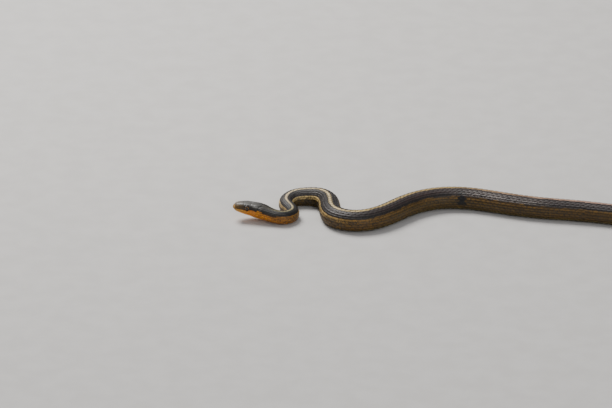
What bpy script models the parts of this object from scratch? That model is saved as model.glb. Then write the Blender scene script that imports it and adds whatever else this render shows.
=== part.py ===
# Garter snake, a still life-size model.
# The snout points to -X. Head and neck are a little raised, the neck turns back in one tight double bend,
# and the trunk and tail run to +X in long easy waves with the belly on the plane Z = 0. Metres, +Z up.

import math
import random

import bmesh
import bpy
import numpy as np
from mathutils import Matrix, Vector

# Driving sizes of the animal
HEAD_LENGTH = 0.0240
VENT_AT = 0.5200
TOTAL_LENGTH = 0.6800
NODE_GAP = 0.0003

# Where the lengths of the body part, measured along the spine from the snout
LENGTHS = [
    ("neck", HEAD_LENGTH, 0.0580),
    ("fore_bend", 0.0580, 0.1120),
    ("fore_trunk", 0.1120, 0.1900),
    ("mid_trunk", 0.1900, 0.3000),
    ("rear_trunk", 0.3000, 0.4100),
    ("hind_trunk", 0.4100, VENT_AT),
    ("tail", VENT_AT, 0.6050),
    ("tail_tip", 0.6050, TOTAL_LENGTH),
]

# The way of the spine over the ground, from the snout to beyond the tail, and the middle of the model on it
ROUTE = [
    (-0.0530, -0.0272), (-0.0430, -0.0266), (-0.0330, -0.0288), (-0.0235, -0.0335), (-0.0152, -0.0345),
    (-0.0097, -0.0278), (-0.0120, -0.0190), (-0.0143, -0.0105), (-0.0100, -0.0028), (0.0000, -0.0004),
    (0.0100, -0.0030), (0.0158, -0.0120), (0.0172, -0.0245), (0.0212, -0.0378), (0.0345, -0.0445),
    (0.0540, -0.0365), (0.0720, -0.0182), (0.0930, -0.0060), (0.1160, -0.0055), (0.1390, -0.0130),
    (0.1650, -0.0212), (0.1920, -0.0262), (0.2200, -0.0330), (0.2520, -0.0405), (0.2860, -0.0385),
    (0.3200, -0.0250), (0.3540, -0.0130), (0.3880, -0.0115), (0.4200, -0.0220), (0.4490, -0.0345),
    (0.4780, -0.0390), (0.5050, -0.0330), (0.5300, -0.0210), (0.5500, -0.0100),
]
ROUTE_MIDDLE = (0.2404, -0.0233)

# Half width, underside and top of the body at distances from the snout, heights from the line of the belly
SIZES = [
    (0.0000, 0.0036, 0.0026, 0.0062),
    (0.0030, 0.0042, 0.0018, 0.0078),
    (0.0065, 0.0049, 0.0010, 0.0086),
    (0.0100, 0.0055, 0.0005, 0.0091),
    (0.0140, 0.0061, 0.0002, 0.0094),
    (0.0180, 0.0067, 0.0000, 0.0096),
    (0.0215, 0.0066, 0.0000, 0.0096),
    (0.0260, 0.0056, 0.0000, 0.0093),
    (0.0320, 0.0050, 0.0000, 0.0091),
    (0.0450, 0.0048, 0.0000, 0.0093),
    (0.0620, 0.0051, 0.0000, 0.0101),
    (0.0850, 0.0064, 0.0000, 0.0124),
    (0.1150, 0.0077, 0.0000, 0.0140),
    (0.1700, 0.0083, 0.0000, 0.0143),
    (0.2400, 0.0086, 0.0000, 0.0145),
    (0.3200, 0.0082, 0.0000, 0.0138),
    (0.4200, 0.0073, 0.0000, 0.0124),
    (0.5000, 0.0062, 0.0000, 0.0106),
    (0.5300, 0.0054, 0.0000, 0.0094),
    (0.5800, 0.0039, 0.0000, 0.0070),
    (0.6400, 0.0022, 0.0000, 0.0041),
    (0.6800, 0.0008, 0.0000, 0.0016),
]
NOSE_ROUND = 0.0034
WIDEST_AT = 0.45
BELLY_FLAT = 1.04

# How square the outline is across the body, above and below its widest level, on the head and on the trunk
HEAD_SQUARE = (2.7, 2.2)
TRUNK_SQUARE = (2.2, 2.6)
SQUARE_CHANGE = (0.020, 0.034)

# The rise of the head and neck over the ground
HEAD_LIFT = 0.0060
LIFT_FROM = 0.0500
LIFT_CURVE = 1.6

# Features of the head, as places along it, across it and up from the line of the belly. The nostril lies on
# the skin, so it has only places along and up.
EYE_AT = (0.0100, 0.0043, 0.0066)
EYE_RADII = (0.00200, 0.00145, 0.00190)
NOSTRIL_AT = (0.0021, 0.0056)
NOSTRIL_RADIUS = 0.00042
NOSTRIL_DEPTH = 0.00005
MOUTH = [
    (-0.0020, 0.0040), (0.0000, 0.0040), (0.0050, 0.0034), (0.0100, 0.0032),
    (0.0140, 0.0032), (0.0175, 0.0036), (0.0205, 0.0043),
]
JAW_END = 0.0205
MOUTH_GAP = 0.0003
LIP_SWELL = 0.00022
LIP_FROM_MOUTH = 0.0009
LIP_SPREAD = 0.0006
LIP_FADE = (0.003, 0.001)
BROW_SWELL = 0.00040
BROW_HEIGHT = 0.0083
BROW_SPREAD = (0.0030, 0.0007)
NOSE_ANGLES = (7, 20, 34, 48, 62, 76, 90)

# The block that parts the lower jaw from the head: its half width, its underside and its steps along the mouth
JAW_BLOCK_REACH = 0.012
JAW_BLOCK_FLOOR = -0.004
JAW_BLOCK_STEPS = 10

# Horny plates of the head in millimetres. On the crown the corners are places along and across, on the sides
# along and up, and on the front of the snout across and up. A plate on the middle line is drawn whole.
CROWN_PLATES = [
    [(1.1, 0.0), (1.4, 1.6), (2.4, 2.3), (3.5, 1.5), (3.6, 0.0)],
    [(3.7, 0.0), (3.6, 1.5), (3.5, 2.9), (6.8, 3.5), (7.4, 1.7), (7.0, 0.0)],
    [(7.4, 1.65), (7.6, 3.3), (9.0, 3.9), (11.4, 4.1), (12.9, 3.6), (12.4, 1.2), (10.0, 1.4)],
    [(13.8, 0.0), (12.4, 1.2), (12.9, 3.6), (14.6, 4.3), (17.6, 3.9), (20.2, 2.2), (20.8, 0.2)],
]
FRONTAL_PLATE = [
    (7.0, 0.0), (7.4, 1.65), (10.0, 1.4), (12.4, 1.2), (13.8, 0.0), (12.4, -1.2), (10.0, -1.4), (7.4, -1.65),
]
CHEEK_PLATES = [
    [(1.5, 4.75), (1.4, 5.9), (2.2, 6.7), (3.5, 6.9), (3.8, 4.95)],
    [(3.9, 5.0), (3.7, 6.8), (6.0, 7.3), (6.1, 5.0)],
    [(6.2, 5.0), (6.1, 7.4), (7.6, 8.0), (8.2, 7.7), (7.6, 6.6), (7.9, 5.2)],
    [(12.5, 4.8), (12.3, 5.9), (13.8, 5.9), (13.9, 5.0)],
    [(12.4, 6.0), (12.3, 7.2), (13.8, 7.2), (13.8, 6.0)],
    [(12.2, 7.3), (11.9, 8.1), (13.3, 8.4), (13.9, 7.3)],
    [(14.0, 5.2), (14.0, 7.5), (16.8, 7.5), (16.8, 5.6)],
    [(16.9, 6.7), (16.9, 7.8), (19.2, 7.5), (19.2, 6.4)],
    [(16.9, 5.5), (16.9, 6.6), (19.2, 6.3), (19.0, 5.3)],
]
ROSTRAL_PLATE = [(-1.7, 4.3), (1.7, 4.3), (1.4, 5.3), (0.6, 5.9), (-0.6, 5.9), (-1.4, 5.3)]
MENTAL_PLATE = [(-1.0, 3.7), (1.0, 3.7), (0.6, 3.1), (-0.6, 3.1)]
CHIN_PLATES = [
    [(3.0, 0.15), (3.4, 1.2), (7.2, 1.5), (7.8, 0.15)],
    [(8.0, 0.3), (7.6, 1.6), (11.6, 1.9), (12.4, 0.9)],
]
UPPER_LIP_ENDS = [1.4, 3.0, 5.2, 7.6, 10.0, 12.6, 15.6, 18.4]
UPPER_LIP_TOPS = [4.6, 4.7, 4.85, 4.8, 4.7, 4.7, 5.1, 5.1]
LOWER_LIP_ENDS = [1.3, 3.4, 5.8, 8.3, 11.0, 13.8, 16.6, 19.0]
LIP_MARGIN = 0.0003
LOWER_LIP_HEIGHT = 0.0012

# How the plates of the head stand out of the skin
PLATE_RISE = 0.00020
PLATE_ROOT = 0.00060
PLATE_GAP = 0.00010
PLATE_CROWN = 0.80
PLATE_MIDDLE = 0.40
PLATE_ROOT_SCALE = 0.88
PLATE_EDGE = 0.0024
WIDE_PLATE = 0.0015

# The broad scutes under the belly and tail
SCUTE_PITCH = 0.0073
SCUTE_RISE = 0.00025
SCUTE_FRONT_RISE = 0.00005
SCUTE_STEP = 0.00008
SCUTE_ANGLES = [math.radians(a) for a in (-54, -36, -18, 0, 18, 36, 54)]
BACK_ANGLES = [math.radians(a) for a in (58, 78, 98, 118, 139, 160, 180, 200, 221, 242, 262, 282, 302)]
FLAT_ANGLE = math.radians(20)
SCUTE_VARIES = 0.04
LAST_SCUTE = 0.6650

# Fineness of the rings
HEAD_SIDES = 32
HEAD_RING = 0.0015
BODY_RING = 0.0080
MOST_TURN = math.radians(12)


def natural_spline(knots, values):
    """A curve through all the values whose bend has no jump."""
    knots = np.asarray(knots, float)
    values = np.asarray(values, float)
    steps = np.diff(knots)
    count = len(knots)
    system = np.zeros((count, count))
    known = np.zeros_like(values)
    system[0, 0] = system[-1, -1] = 1
    for i in range(1, count - 1):
        system[i, i - 1:i + 2] = steps[i - 1], 2 * (steps[i - 1] + steps[i]), steps[i]
        slopes = (values[i + 1] - values[i]) / steps[i], (values[i] - values[i - 1]) / steps[i - 1]
        known[i] = 6 * (slopes[0] - slopes[1])
    bend = np.linalg.solve(system, known)

    def at(where):
        i = int(np.clip(np.searchsorted(knots, where) - 1, 0, count - 2))
        after, before, step = where - knots[i], knots[i + 1] - where, steps[i]
        cubic = (bend[i] * before ** 3 + bend[i + 1] * after ** 3) / (6 * step)
        left = (values[i] / step - bend[i] * step / 6) * before
        right = (values[i + 1] / step - bend[i + 1] * step / 6) * after
        return cubic + left + right

    return at


def smooth_table(rows):
    """A curve through the rows of a table that never swings past them. The first column is the place."""
    table = np.asarray(rows, float)
    knots, values = table[:, 0], table[:, 1:]
    steps = np.diff(knots)[:, None]
    slopes = np.diff(values, axis=0) / steps
    weights = 2 * steps[1:] + steps[:-1], steps[1:] + 2 * steps[:-1]
    tangents = np.zeros_like(values)
    tangents[0], tangents[-1] = slopes[0], slopes[-1]
    same_way = slopes[:-1] * slopes[1:] > 0
    first = np.where(same_way, slopes[:-1], 1)
    second = np.where(same_way, slopes[1:], 1)
    mean = (weights[0] + weights[1]) / (weights[0] / first + weights[1] / second)
    tangents[1:-1] = np.where(same_way, mean, 0)

    def at(where):
        i = int(np.clip(np.searchsorted(knots, where) - 1, 0, len(knots) - 2))
        step = steps[i, 0]
        t = (where - knots[i]) / step
        ends = (2 * t ** 3 - 3 * t ** 2 + 1) * values[i] + (3 * t ** 2 - 2 * t ** 3) * values[i + 1]
        return ends + step * ((t ** 3 - 2 * t ** 2 + t) * tangents[i] + (t ** 3 - t ** 2) * tangents[i + 1])

    return at


def smooth_step(low, high, where):
    t = min(max((where - low) / (high - low), 0), 1)
    return t * t * (3 - 2 * t)


class Spine:
    """The line over the ground that the body follows, read by the distance from the snout."""

    SAMPLE = 0.0002

    def __init__(self, route, middle):
        points = np.asarray(route, float) - np.asarray(middle)
        chords = np.linalg.norm(np.diff(points, axis=0), axis=1)
        knots = np.concatenate([[0], np.cumsum(chords)])
        curve = natural_spline(knots, points)
        self.points = np.array([curve(w) for w in np.arange(0, knots[-1], self.SAMPLE)])
        runs = np.linalg.norm(np.diff(self.points, axis=0), axis=1)
        self.distances = np.concatenate([[0], np.cumsum(runs)])

    def ground(self, s):
        held = min(max(s, 0), self.distances[-1])
        point = np.array([np.interp(held, self.distances, self.points[:, k]) for k in (0, 1)])
        if s < 0:
            point = point + s * self.heading(0)
        return point

    def heading(self, s, reach=0.0008):
        low = max(s - reach, 0)
        way = self.ground(low + 2 * reach) - self.ground(low)
        return way / np.linalg.norm(way)

    def turn(self, low, high):
        a, b = self.heading(low), self.heading(high)
        return abs(math.atan2(a[0] * b[1] - a[1] * b[0], a @ b))


def belly_lift(s):
    """Height of the line of the belly over the ground."""
    return HEAD_LIFT * max(LIFT_FROM - s, 0) ** LIFT_CURVE / LIFT_FROM ** LIFT_CURVE


def solve(low, high, rises):
    """The value between two limits where a test that is true below it turns false."""
    for _ in range(30):
        middle = (low + high) / 2
        low, high = (middle, high) if rises(middle) else (low, middle)
    return (low + high) / 2


class Body:
    """The line and the outlines of the animal, which every solid is read from."""

    def __init__(self):
        self.spine = Spine(ROUTE, ROUTE_MIDDLE)
        self.sizes = smooth_table(SIZES)
        self.mouth = smooth_table(MOUTH)

    def axes(self, s):
        """The local axes at a station: X to the snake's left, Y backwards along the body, Z up."""
        reach = 0.0005
        x, y = self.spine.ground(s)
        ahead = self.spine.heading(max(s, 0))
        pitch = math.atan2(belly_lift(s + reach) - belly_lift(s - reach), 2 * reach)
        back = Vector((ahead[0] * math.cos(pitch), ahead[1] * math.cos(pitch), math.sin(pitch)))
        left = Vector((ahead[1], -ahead[0], 0))
        up = left.cross(back)
        axes = Matrix((left, back, up)).transposed().to_4x4()
        axes.translation = (x, y, belly_lift(s))
        return axes

    def levels(self, s):
        """Half width, underside, widest level and top. Behind the head the scutes cover the underside."""
        half, low, top = self.sizes(s)
        if s > HEAD_LENGTH:
            low += SCUTE_RISE
        return half, low, low + WIDEST_AT * (top - low), top

    def swell(self, s, x, z):
        """How far the lips and the brow over the eye stand out of the plain outline."""
        mouth = self.mouth(s)[0]
        end = 1 - smooth_step(JAW_END - LIP_FADE[0], JAW_END + LIP_FADE[1], s)
        lips = sum(math.exp(-((z - mouth - side * LIP_FROM_MOUTH) / LIP_SPREAD) ** 2) for side in (-1, 1))
        brow = math.exp(-((s - EYE_AT[0]) / BROW_SPREAD[0]) ** 2 - ((z - BROW_HEIGHT) / BROW_SPREAD[1]) ** 2)
        start = smooth_step(0, NOSE_ROUND, s)
        return x + math.copysign(start * (LIP_SWELL * lips * end + BROW_SWELL * brow), x)

    def outline(self, s, angle):
        """Across and up at an angle from the middle of the belly."""
        half, low, wide, top = self.levels(s)
        trunk = smooth_step(*SQUARE_CHANGE, s)
        above, below = ((1 - trunk) * h + trunk * b for h, b in zip(HEAD_SQUARE, TRUNK_SQUARE))
        across, up = math.sin(angle), -math.cos(angle)
        power = 2 / (below if up < 0 else above)
        x = math.copysign(half * abs(across) ** power, across) if abs(across) > 1e-9 else 0
        rise = abs(up) ** power if abs(up) > 1e-9 else 0
        z = wide + rise * (top - wide) if up > 0 else wide - min(BELLY_FLAT * rise, 1) * (wide - low)
        if s < SQUARE_CHANGE[1] and x:
            x = self.swell(s, x, z)
        round_off = math.sqrt(1 - (1 - min(s / NOSE_ROUND, 1)) ** 2)
        return x * round_off, wide + (z - wide) * round_off

    def place(self, s, angle):
        x, z = self.outline(s, angle)
        return self.axes(s) @ Vector((x, 0, z))

    def over(self, s, angle, rise):
        """A point at a height over the skin, or under it where the height is negative."""
        reach, turn = 0.0001, math.radians(2)
        point = self.place(s, angle)
        along = self.place(s + reach, angle) - self.place(max(s - reach, 0), angle)
        round_it = self.place(s, angle + turn) - self.place(s, angle - turn)
        return point + rise * along.cross(round_it).normalized()

    def find(self, view, a, b):
        """The station and angle of a place that a side, top, bottom or front view of the head shows."""
        if view == "front":
            return self.find_on_snout(a, b)
        if view == "side":
            return a, solve(0.1, math.pi, lambda angle: self.outline(a, angle)[1] < b)
        side = math.copysign(1, b)
        if view == "top":
            return a, side * solve(math.pi / 2, math.pi, lambda angle: self.outline(a, angle)[0] > abs(b))
        return a, side * solve(0, math.pi / 2, lambda angle: self.outline(a, angle)[0] < abs(b))

    def find_on_snout(self, x, z):
        s = NOSE_ROUND / 2
        for _ in range(4):
            wide = self.levels(s)[2]
            way = math.atan2(abs(x), wide - z)

            def before(angle):
                across, up = self.outline(NOSE_ROUND, angle)
                return math.atan2(across, self.levels(NOSE_ROUND)[2] - up) < way

            angle = solve(0, math.pi, before)
            full = self.outline(s, angle)
            share = math.hypot(x, z - wide) / math.hypot(full[0], full[1] - wide)
            rounded = math.sqrt(1 - (1 - s / NOSE_ROUND) ** 2)
            s = NOSE_ROUND * (1 - math.sqrt(1 - min(share * rounded, 0.98) ** 2))
        return s, math.copysign(angle, x)


def add_ring(bm, points):
    """A closed ring of edges through the points."""
    made = bmesh.ops.create_circle(bm, segments=len(points), radius=1, cap_ends=False)
    for vert, point in zip(made["verts"], points):
        vert.co = point
    return list({edge for vert in made["verts"] for edge in vert.link_edges})


def loft(name, rings, material=None, collection=None):
    """A closed body of flat triangles through rings of equal count."""
    bm = bmesh.new()
    loops = [add_ring(bm, points) for points in rings]
    for first, second in zip(loops, loops[1:]):
        bmesh.ops.bridge_loops(bm, edges=first + second)
    for end in (loops[0], loops[-1]):
        bmesh.ops.contextual_create(bm, geom=end)
    bmesh.ops.triangulate(bm, faces=bm.faces)
    bmesh.ops.recalc_face_normals(bm, faces=bm.faces)
    return finish(name, bm, material, collection)


def finish(name, bm, material, collection=None):
    mesh = bpy.data.meshes.new(name)
    bm.to_mesh(mesh)
    bm.free()
    mesh.materials.append(material)
    mesh.shade_smooth()
    mesh.set_sharp_from_angle(angle=math.radians(50))
    part = bpy.data.objects.new(name, mesh)
    (collection or bpy.context.scene.collection).objects.link(part)
    return part


def make_cutter(part):
    part.hide_render = True
    part.display_type = "WIRE"
    return part


def boolean(part, operation, tool):
    modifier = part.modifiers.new(f"{operation.lower()} {tool.name}", "BOOLEAN")
    modifier.operation = operation
    modifier.object = tool
    modifier.solver = "MANIFOLD"


def fuse(part, pieces):
    """Joins a collection of closed pieces to the part and keeps the largest closed surface."""
    modifier = part.modifiers.new("fuse", "BOOLEAN")
    modifier.operation = "UNION"
    modifier.operand_type = "COLLECTION"
    modifier.collection = pieces
    modifier.solver = "EXACT"
    graph = bpy.context.evaluated_depsgraph_get()
    fused = bpy.data.meshes.new_from_object(part.evaluated_get(graph))
    part.modifiers.clear()
    material = part.data.materials[0]
    for piece in list(pieces.objects):
        bpy.data.objects.remove(piece)
    bpy.data.collections.remove(pieces)
    bm = bmesh.new()
    bm.from_mesh(fused)
    shells = closed_surfaces(bm)
    largest = max(shells, key=shell_size)
    for shell in shells:
        if shell is not largest:
            bmesh.ops.delete(bm, geom=shell, context="FACES")
    bm.to_mesh(fused)
    bm.free()
    fused.materials.clear()
    fused.materials.append(material)
    part.data = fused


def closed_surfaces(bm):
    """The faces in groups that hang together by their edges."""
    groups, seen = [], set()
    for start in bm.faces:
        if start in seen:
            continue
        seen.add(start)
        group = [start]
        for face in group:
            for edge in face.edges:
                fresh = [other for other in edge.link_faces if other not in seen]
                seen.update(fresh)
                group.extend(fresh)
        groups.append(group)
    return groups


def shell_size(shell):
    points = np.array([vert.co for face in shell for vert in face.verts])
    return float(np.prod(np.ptp(points, axis=0)))


def plain_material(name, colour, roughness):
    material = bpy.data.materials.new(name)
    material.use_nodes = True
    shader = material.node_tree.nodes["Principled BSDF"]
    shader.inputs["Base Color"].default_value = (*colour, 1)
    shader.inputs["Roughness"].default_value = roughness
    shader.inputs["Metallic"].default_value = 0
    return material


def stations(spine, start, end, longest):
    """Distances from start to end, closer together where the body bends."""
    found = [start]
    while found[-1] < end - 1e-6:
        step = min(longest, end - found[-1])
        while spine.turn(found[-1], found[-1] + step) > MOST_TURN:
            step *= 0.8
        found.append(found[-1] + step)
    if len(found) > 2 and found[-1] - found[-2] < 0.3 * (found[-2] - found[-3]):
        del found[-2]
    return found


def ring(body, s, sides):
    return [body.place(s, 2 * math.pi * k / sides) for k in range(sides)]


def scuted_ring(body, s, rise):
    """A ring of the trunk or tail, where the angles that a scute covers stand out by a height."""
    points = [body.place(s, angle) for angle in BACK_ANGLES]
    for angle in SCUTE_ANGLES:
        if abs(angle) < FLAT_ANGLE:
            point = body.place(s, angle)
            point.z -= SCUTE_RISE
        else:
            point = body.over(s, angle, rise)
        points.append(point)
    return points


def scuted_rings(body, start, end, draw):
    """Rings along one length. Each scute rises backwards to its free edge, which steps down to the next."""
    ends = scute_ends(start, min(end, LAST_SCUTE), draw)
    rings = []
    for front, rear in zip(ends, ends[1:]):
        for s in stations(body.spine, front + SCUTE_STEP, rear, BODY_RING):
            share = (s - front) / (rear - front)
            rings.append(scuted_ring(body, s, SCUTE_FRONT_RISE + share * (SCUTE_RISE - SCUTE_FRONT_RISE)))
    if end > LAST_SCUTE:
        for s in stations(body.spine, LAST_SCUTE, end, BODY_RING)[1:]:
            rings.append(scuted_ring(body, s, SCUTE_FRONT_RISE))
    return rings


def scute_ends(start, end, draw):
    """Where the scutes of one length end, each a little longer or shorter than the last."""
    count = round((end - start) / SCUTE_PITCH)
    steps = [draw.uniform(1 - SCUTE_VARIES, 1 + SCUTE_VARIES) for _ in range(count)]
    ends = [start - SCUTE_STEP]
    for step in steps:
        ends.append(ends[-1] + step * (end - ends[0]) / sum(steps))
    return ends


def new_collection(name):
    collection = bpy.data.collections.new(name)
    bpy.context.scene.collection.children.link(collection)
    return collection


def make_lengths(body, material, draw):
    """The neck, trunk and tail, each a closed length with a thin gap to the next."""
    for name, start, end in LENGTHS:
        first = start + NODE_GAP / 2
        last = end - NODE_GAP / 2 if end < TOTAL_LENGTH else end
        loft(name, scuted_rings(body, first, last, draw), material)


def head_places():
    """Stations of the head, crowded towards the rounded snout."""
    nose = [NOSE_ROUND * (1 - math.cos(math.radians(angle))) for angle in NOSE_ANGLES]
    count = round((HEAD_LENGTH - NOSE_ROUND) / HEAD_RING)
    step = (HEAD_LENGTH - NODE_GAP / 2 - NOSE_ROUND) / count
    return nose + [NOSE_ROUND + step * k for k in range(1, count + 1)]


def edge_points(corners):
    """The corners of a plate with more points between them, in metres."""
    found = []
    for (a, b), (c, d) in zip(corners, corners[1:] + corners[:1]):
        parts = max(1, round(math.hypot(c - a, d - b) * 0.001 / PLATE_EDGE))
        found += [Vector((a + (c - a) * k / parts, b + (d - b) * k / parts)) * 0.001 for k in range(parts)]
    return found


def head_plate(body, pieces, view, corners, side=1):
    """One horny plate, with its root in the flesh, a low rim and an even crown."""
    edge = edge_points(corners)
    centre = sum(edge, Vector((0, 0))) / len(edge)
    radius = sum((point - centre).length for point in edge) / len(edge)
    rim = 1 - PLATE_GAP / radius
    steps = [(rim * PLATE_ROOT_SCALE, -PLATE_ROOT), (rim, PLATE_RISE / 2), (rim * PLATE_CROWN, PLATE_RISE)]
    if radius > WIDE_PLATE:
        steps.append((rim * PLATE_MIDDLE, PLATE_RISE))
    rings = []
    for share, rise in steps:
        found = [body.find(view, *(centre + share * (point - centre))) for point in edge]
        rings.append([body.over(s, side * angle, rise) for s, angle in found])
    loft(f"plate_{len(pieces.objects)}", rings, collection=pieces)


def lip_plates(body, ends, inner, outer):
    """Plates along a lip, between their ends, from the margin of the mouth to the far edge."""
    corners = [(s, body.mouth(s / 1000)[0] * 1000) for s in ends]
    for (a, low), (b, high), k in zip(corners, corners[1:], range(len(ends) - 1)):
        yield [(a, low + inner), (b, high + inner), (b, outer(k + 1, high)), (a, outer(k, low))]


def make_head_plates(body, head, jaw):
    """The plates of crown, cheeks and lips on the head, and those of lip and chin on the lower jaw."""
    margin = LIP_MARGIN * 1000
    on_head = new_collection("head_plates")
    head_plate(body, on_head, "front", ROSTRAL_PLATE)
    head_plate(body, on_head, "top", FRONTAL_PLATE)
    on_jaw = new_collection("jaw_plates")
    head_plate(body, on_jaw, "front", MENTAL_PLATE)
    height = LOWER_LIP_HEIGHT * 1000
    for side in (1, -1):
        for corners in CROWN_PLATES:
            head_plate(body, on_head, "top", corners, side)
        for corners in CHEEK_PLATES:
            head_plate(body, on_head, "side", corners, side)
        for corners in lip_plates(body, UPPER_LIP_ENDS, margin, lambda k, line: UPPER_LIP_TOPS[k]):
            head_plate(body, on_head, "side", corners, side)
        for corners in lip_plates(body, LOWER_LIP_ENDS, -margin, lambda k, line: line - margin - height):
            head_plate(body, on_jaw, "side", corners, side)
        for corners in CHIN_PLATES:
            head_plate(body, on_jaw, "bottom", corners, side)
    fuse(head, on_head)
    fuse(jaw, on_jaw)


def jaw_block(name, body, gap):
    """A block below the line of the mouth, longer and higher by the gap."""
    reach, floor = JAW_BLOCK_REACH, JAW_BLOCK_FLOOR
    before = MOUTH[0][0]
    places = [before, before / 2]
    places += [JAW_END * k / JAW_BLOCK_STEPS for k in range(JAW_BLOCK_STEPS)] + [JAW_END + gap]
    rings = []
    for s in places:
        line = body.mouth(min(s, JAW_END))[0] + gap
        corners = [(-reach, floor), (reach, floor), (reach, line), (-reach, line)]
        axes = body.axes(s)
        rings.append([axes @ Vector((x, 0, z)) for x, z in corners])
    return make_cutter(loft(name, rings))


def ball(name, where, radii, material=None):
    """A ball stretched along the axes of the place that it stands at."""
    bm = bmesh.new()
    bmesh.ops.create_icosphere(bm, subdivisions=3, radius=1)
    radius_along, radius_across, radius_up = radii
    shape = Matrix.Diagonal((radius_across, radius_along, radius_up, 1))
    bmesh.ops.transform(bm, matrix=where @ shape, verts=bm.verts)
    return finish(name, bm, material)


def eye_place(body, side):
    along, across, up = EYE_AT
    return body.axes(along) @ Matrix.Translation((side * across, 0, up))


def nostril_place(body, side):
    along, angle = body.find("side", *NOSTRIL_AT)
    where = body.axes(along)
    where.translation = body.over(along, side * angle, -NOSTRIL_DEPTH)
    return where


def make_head(body, skin, chin, eye):
    """The head, parted from its lower jaw along the mouth, with eyes in their sockets and two nostrils."""
    rings = [ring(body, s, HEAD_SIDES) for s in head_places()]
    head = loft("head", rings, skin)
    jaw = loft("lower_jaw", rings, chin)
    make_head_plates(body, head, jaw)
    boolean(jaw, "INTERSECT", jaw_block("jaw_shape", body, 0))
    boolean(head, "DIFFERENCE", jaw_block("jaw_room", body, MOUTH_GAP))
    room = tuple(r + NODE_GAP for r in EYE_RADII)
    for word, side in (("left", 1), ("right", -1)):
        ball(f"{word}_eye", eye_place(body, side), EYE_RADII, eye)
        boolean(head, "DIFFERENCE", make_cutter(ball(f"{word}_socket", eye_place(body, side), room)))
        pit = ball(f"{word}_nostril", nostril_place(body, side), (NOSTRIL_RADIUS,) * 3)
        boolean(head, "DIFFERENCE", make_cutter(pit))


def main():
    for old in list(bpy.data.objects):
        bpy.data.objects.remove(old)
    draw = random.Random(19)
    body = Body()
    skin = plain_material("striped_skin", (0.10, 0.07, 0.045), 0.45)
    chin = plain_material("orange_skin", (0.55, 0.20, 0.03), 0.45)
    eye = plain_material("dark_eye", (0.02, 0.012, 0.008), 0.08)
    make_head(body, skin, chin, eye)
    make_lengths(body, skin, draw)


main()
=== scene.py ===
# %% [markdown]
# # A garter snake in its skin and scales
# The solids come in first. They give the pose, the sizes and the named lengths of the body, and nothing
# moves them. Everything made below takes its place from the same spine and outlines, so it fits them without
# any shifting.

# %% Load the solids
import math

import bmesh
import bpy
import numpy as np
from mathutils import Matrix, Vector

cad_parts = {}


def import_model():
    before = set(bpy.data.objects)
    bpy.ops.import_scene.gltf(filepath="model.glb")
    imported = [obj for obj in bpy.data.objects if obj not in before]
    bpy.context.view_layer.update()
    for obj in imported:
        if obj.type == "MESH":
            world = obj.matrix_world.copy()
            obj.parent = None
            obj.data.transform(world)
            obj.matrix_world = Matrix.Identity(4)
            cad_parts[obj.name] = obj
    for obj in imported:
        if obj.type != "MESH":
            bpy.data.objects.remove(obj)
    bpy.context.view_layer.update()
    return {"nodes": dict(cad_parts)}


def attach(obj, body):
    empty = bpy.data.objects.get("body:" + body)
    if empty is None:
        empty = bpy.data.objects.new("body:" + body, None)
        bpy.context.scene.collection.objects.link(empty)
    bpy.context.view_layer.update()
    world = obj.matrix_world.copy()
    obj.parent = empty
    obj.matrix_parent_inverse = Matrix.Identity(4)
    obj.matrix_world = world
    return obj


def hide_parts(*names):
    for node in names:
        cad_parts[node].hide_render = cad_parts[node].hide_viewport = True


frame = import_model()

print("nodes:", ", ".join(sorted(frame["nodes"])))

# %% [markdown]
# ## The spine and the outlines
# A snake is one long tube, so every point of its skin can be named by two numbers: how far it lies from the
# snout along the spine, and at what angle round the body, from the middle of the belly at 0 up to the middle
# of the back at pi. The functions below turn those two numbers into a place. They work on whole arrays,
# which is what makes thousands of scales quick to lay.

# %% Sizes shared with the solids
MM = 0.001
HEAD_LENGTH = 0.0240
VENT_AT = 0.5200
TOTAL_LENGTH = 0.6800
ROUTE = [
    (-0.0530, -0.0272), (-0.0430, -0.0266), (-0.0330, -0.0288), (-0.0235, -0.0335), (-0.0152, -0.0345),
    (-0.0097, -0.0278), (-0.0120, -0.0190), (-0.0143, -0.0105), (-0.0100, -0.0028), (0.0000, -0.0004),
    (0.0100, -0.0030), (0.0158, -0.0120), (0.0172, -0.0245), (0.0212, -0.0378), (0.0345, -0.0445),
    (0.0540, -0.0365), (0.0720, -0.0182), (0.0930, -0.0060), (0.1160, -0.0055), (0.1390, -0.0130),
    (0.1650, -0.0212), (0.1920, -0.0262), (0.2200, -0.0330), (0.2520, -0.0405), (0.2860, -0.0385),
    (0.3200, -0.0250), (0.3540, -0.0130), (0.3880, -0.0115), (0.4200, -0.0220), (0.4490, -0.0345),
    (0.4780, -0.0390), (0.5050, -0.0330), (0.5300, -0.0210), (0.5500, -0.0100),
]
ROUTE_MIDDLE = (0.2404, -0.0233)
SIZES = [
    (0.0000, 0.0036, 0.0026, 0.0062), (0.0030, 0.0042, 0.0018, 0.0078), (0.0065, 0.0049, 0.0010, 0.0086),
    (0.0100, 0.0055, 0.0005, 0.0091), (0.0140, 0.0061, 0.0002, 0.0094), (0.0180, 0.0067, 0.0000, 0.0096),
    (0.0215, 0.0066, 0.0000, 0.0096), (0.0260, 0.0056, 0.0000, 0.0093), (0.0320, 0.0050, 0.0000, 0.0091),
    (0.0450, 0.0048, 0.0000, 0.0093), (0.0620, 0.0051, 0.0000, 0.0101), (0.0850, 0.0064, 0.0000, 0.0124),
    (0.1150, 0.0077, 0.0000, 0.0140), (0.1700, 0.0083, 0.0000, 0.0143), (0.2400, 0.0086, 0.0000, 0.0145),
    (0.3200, 0.0082, 0.0000, 0.0138), (0.4200, 0.0073, 0.0000, 0.0124), (0.5000, 0.0062, 0.0000, 0.0106),
    (0.5300, 0.0054, 0.0000, 0.0094), (0.5800, 0.0039, 0.0000, 0.0070), (0.6400, 0.0022, 0.0000, 0.0041),
    (0.6800, 0.0008, 0.0000, 0.0016),
]
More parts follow.
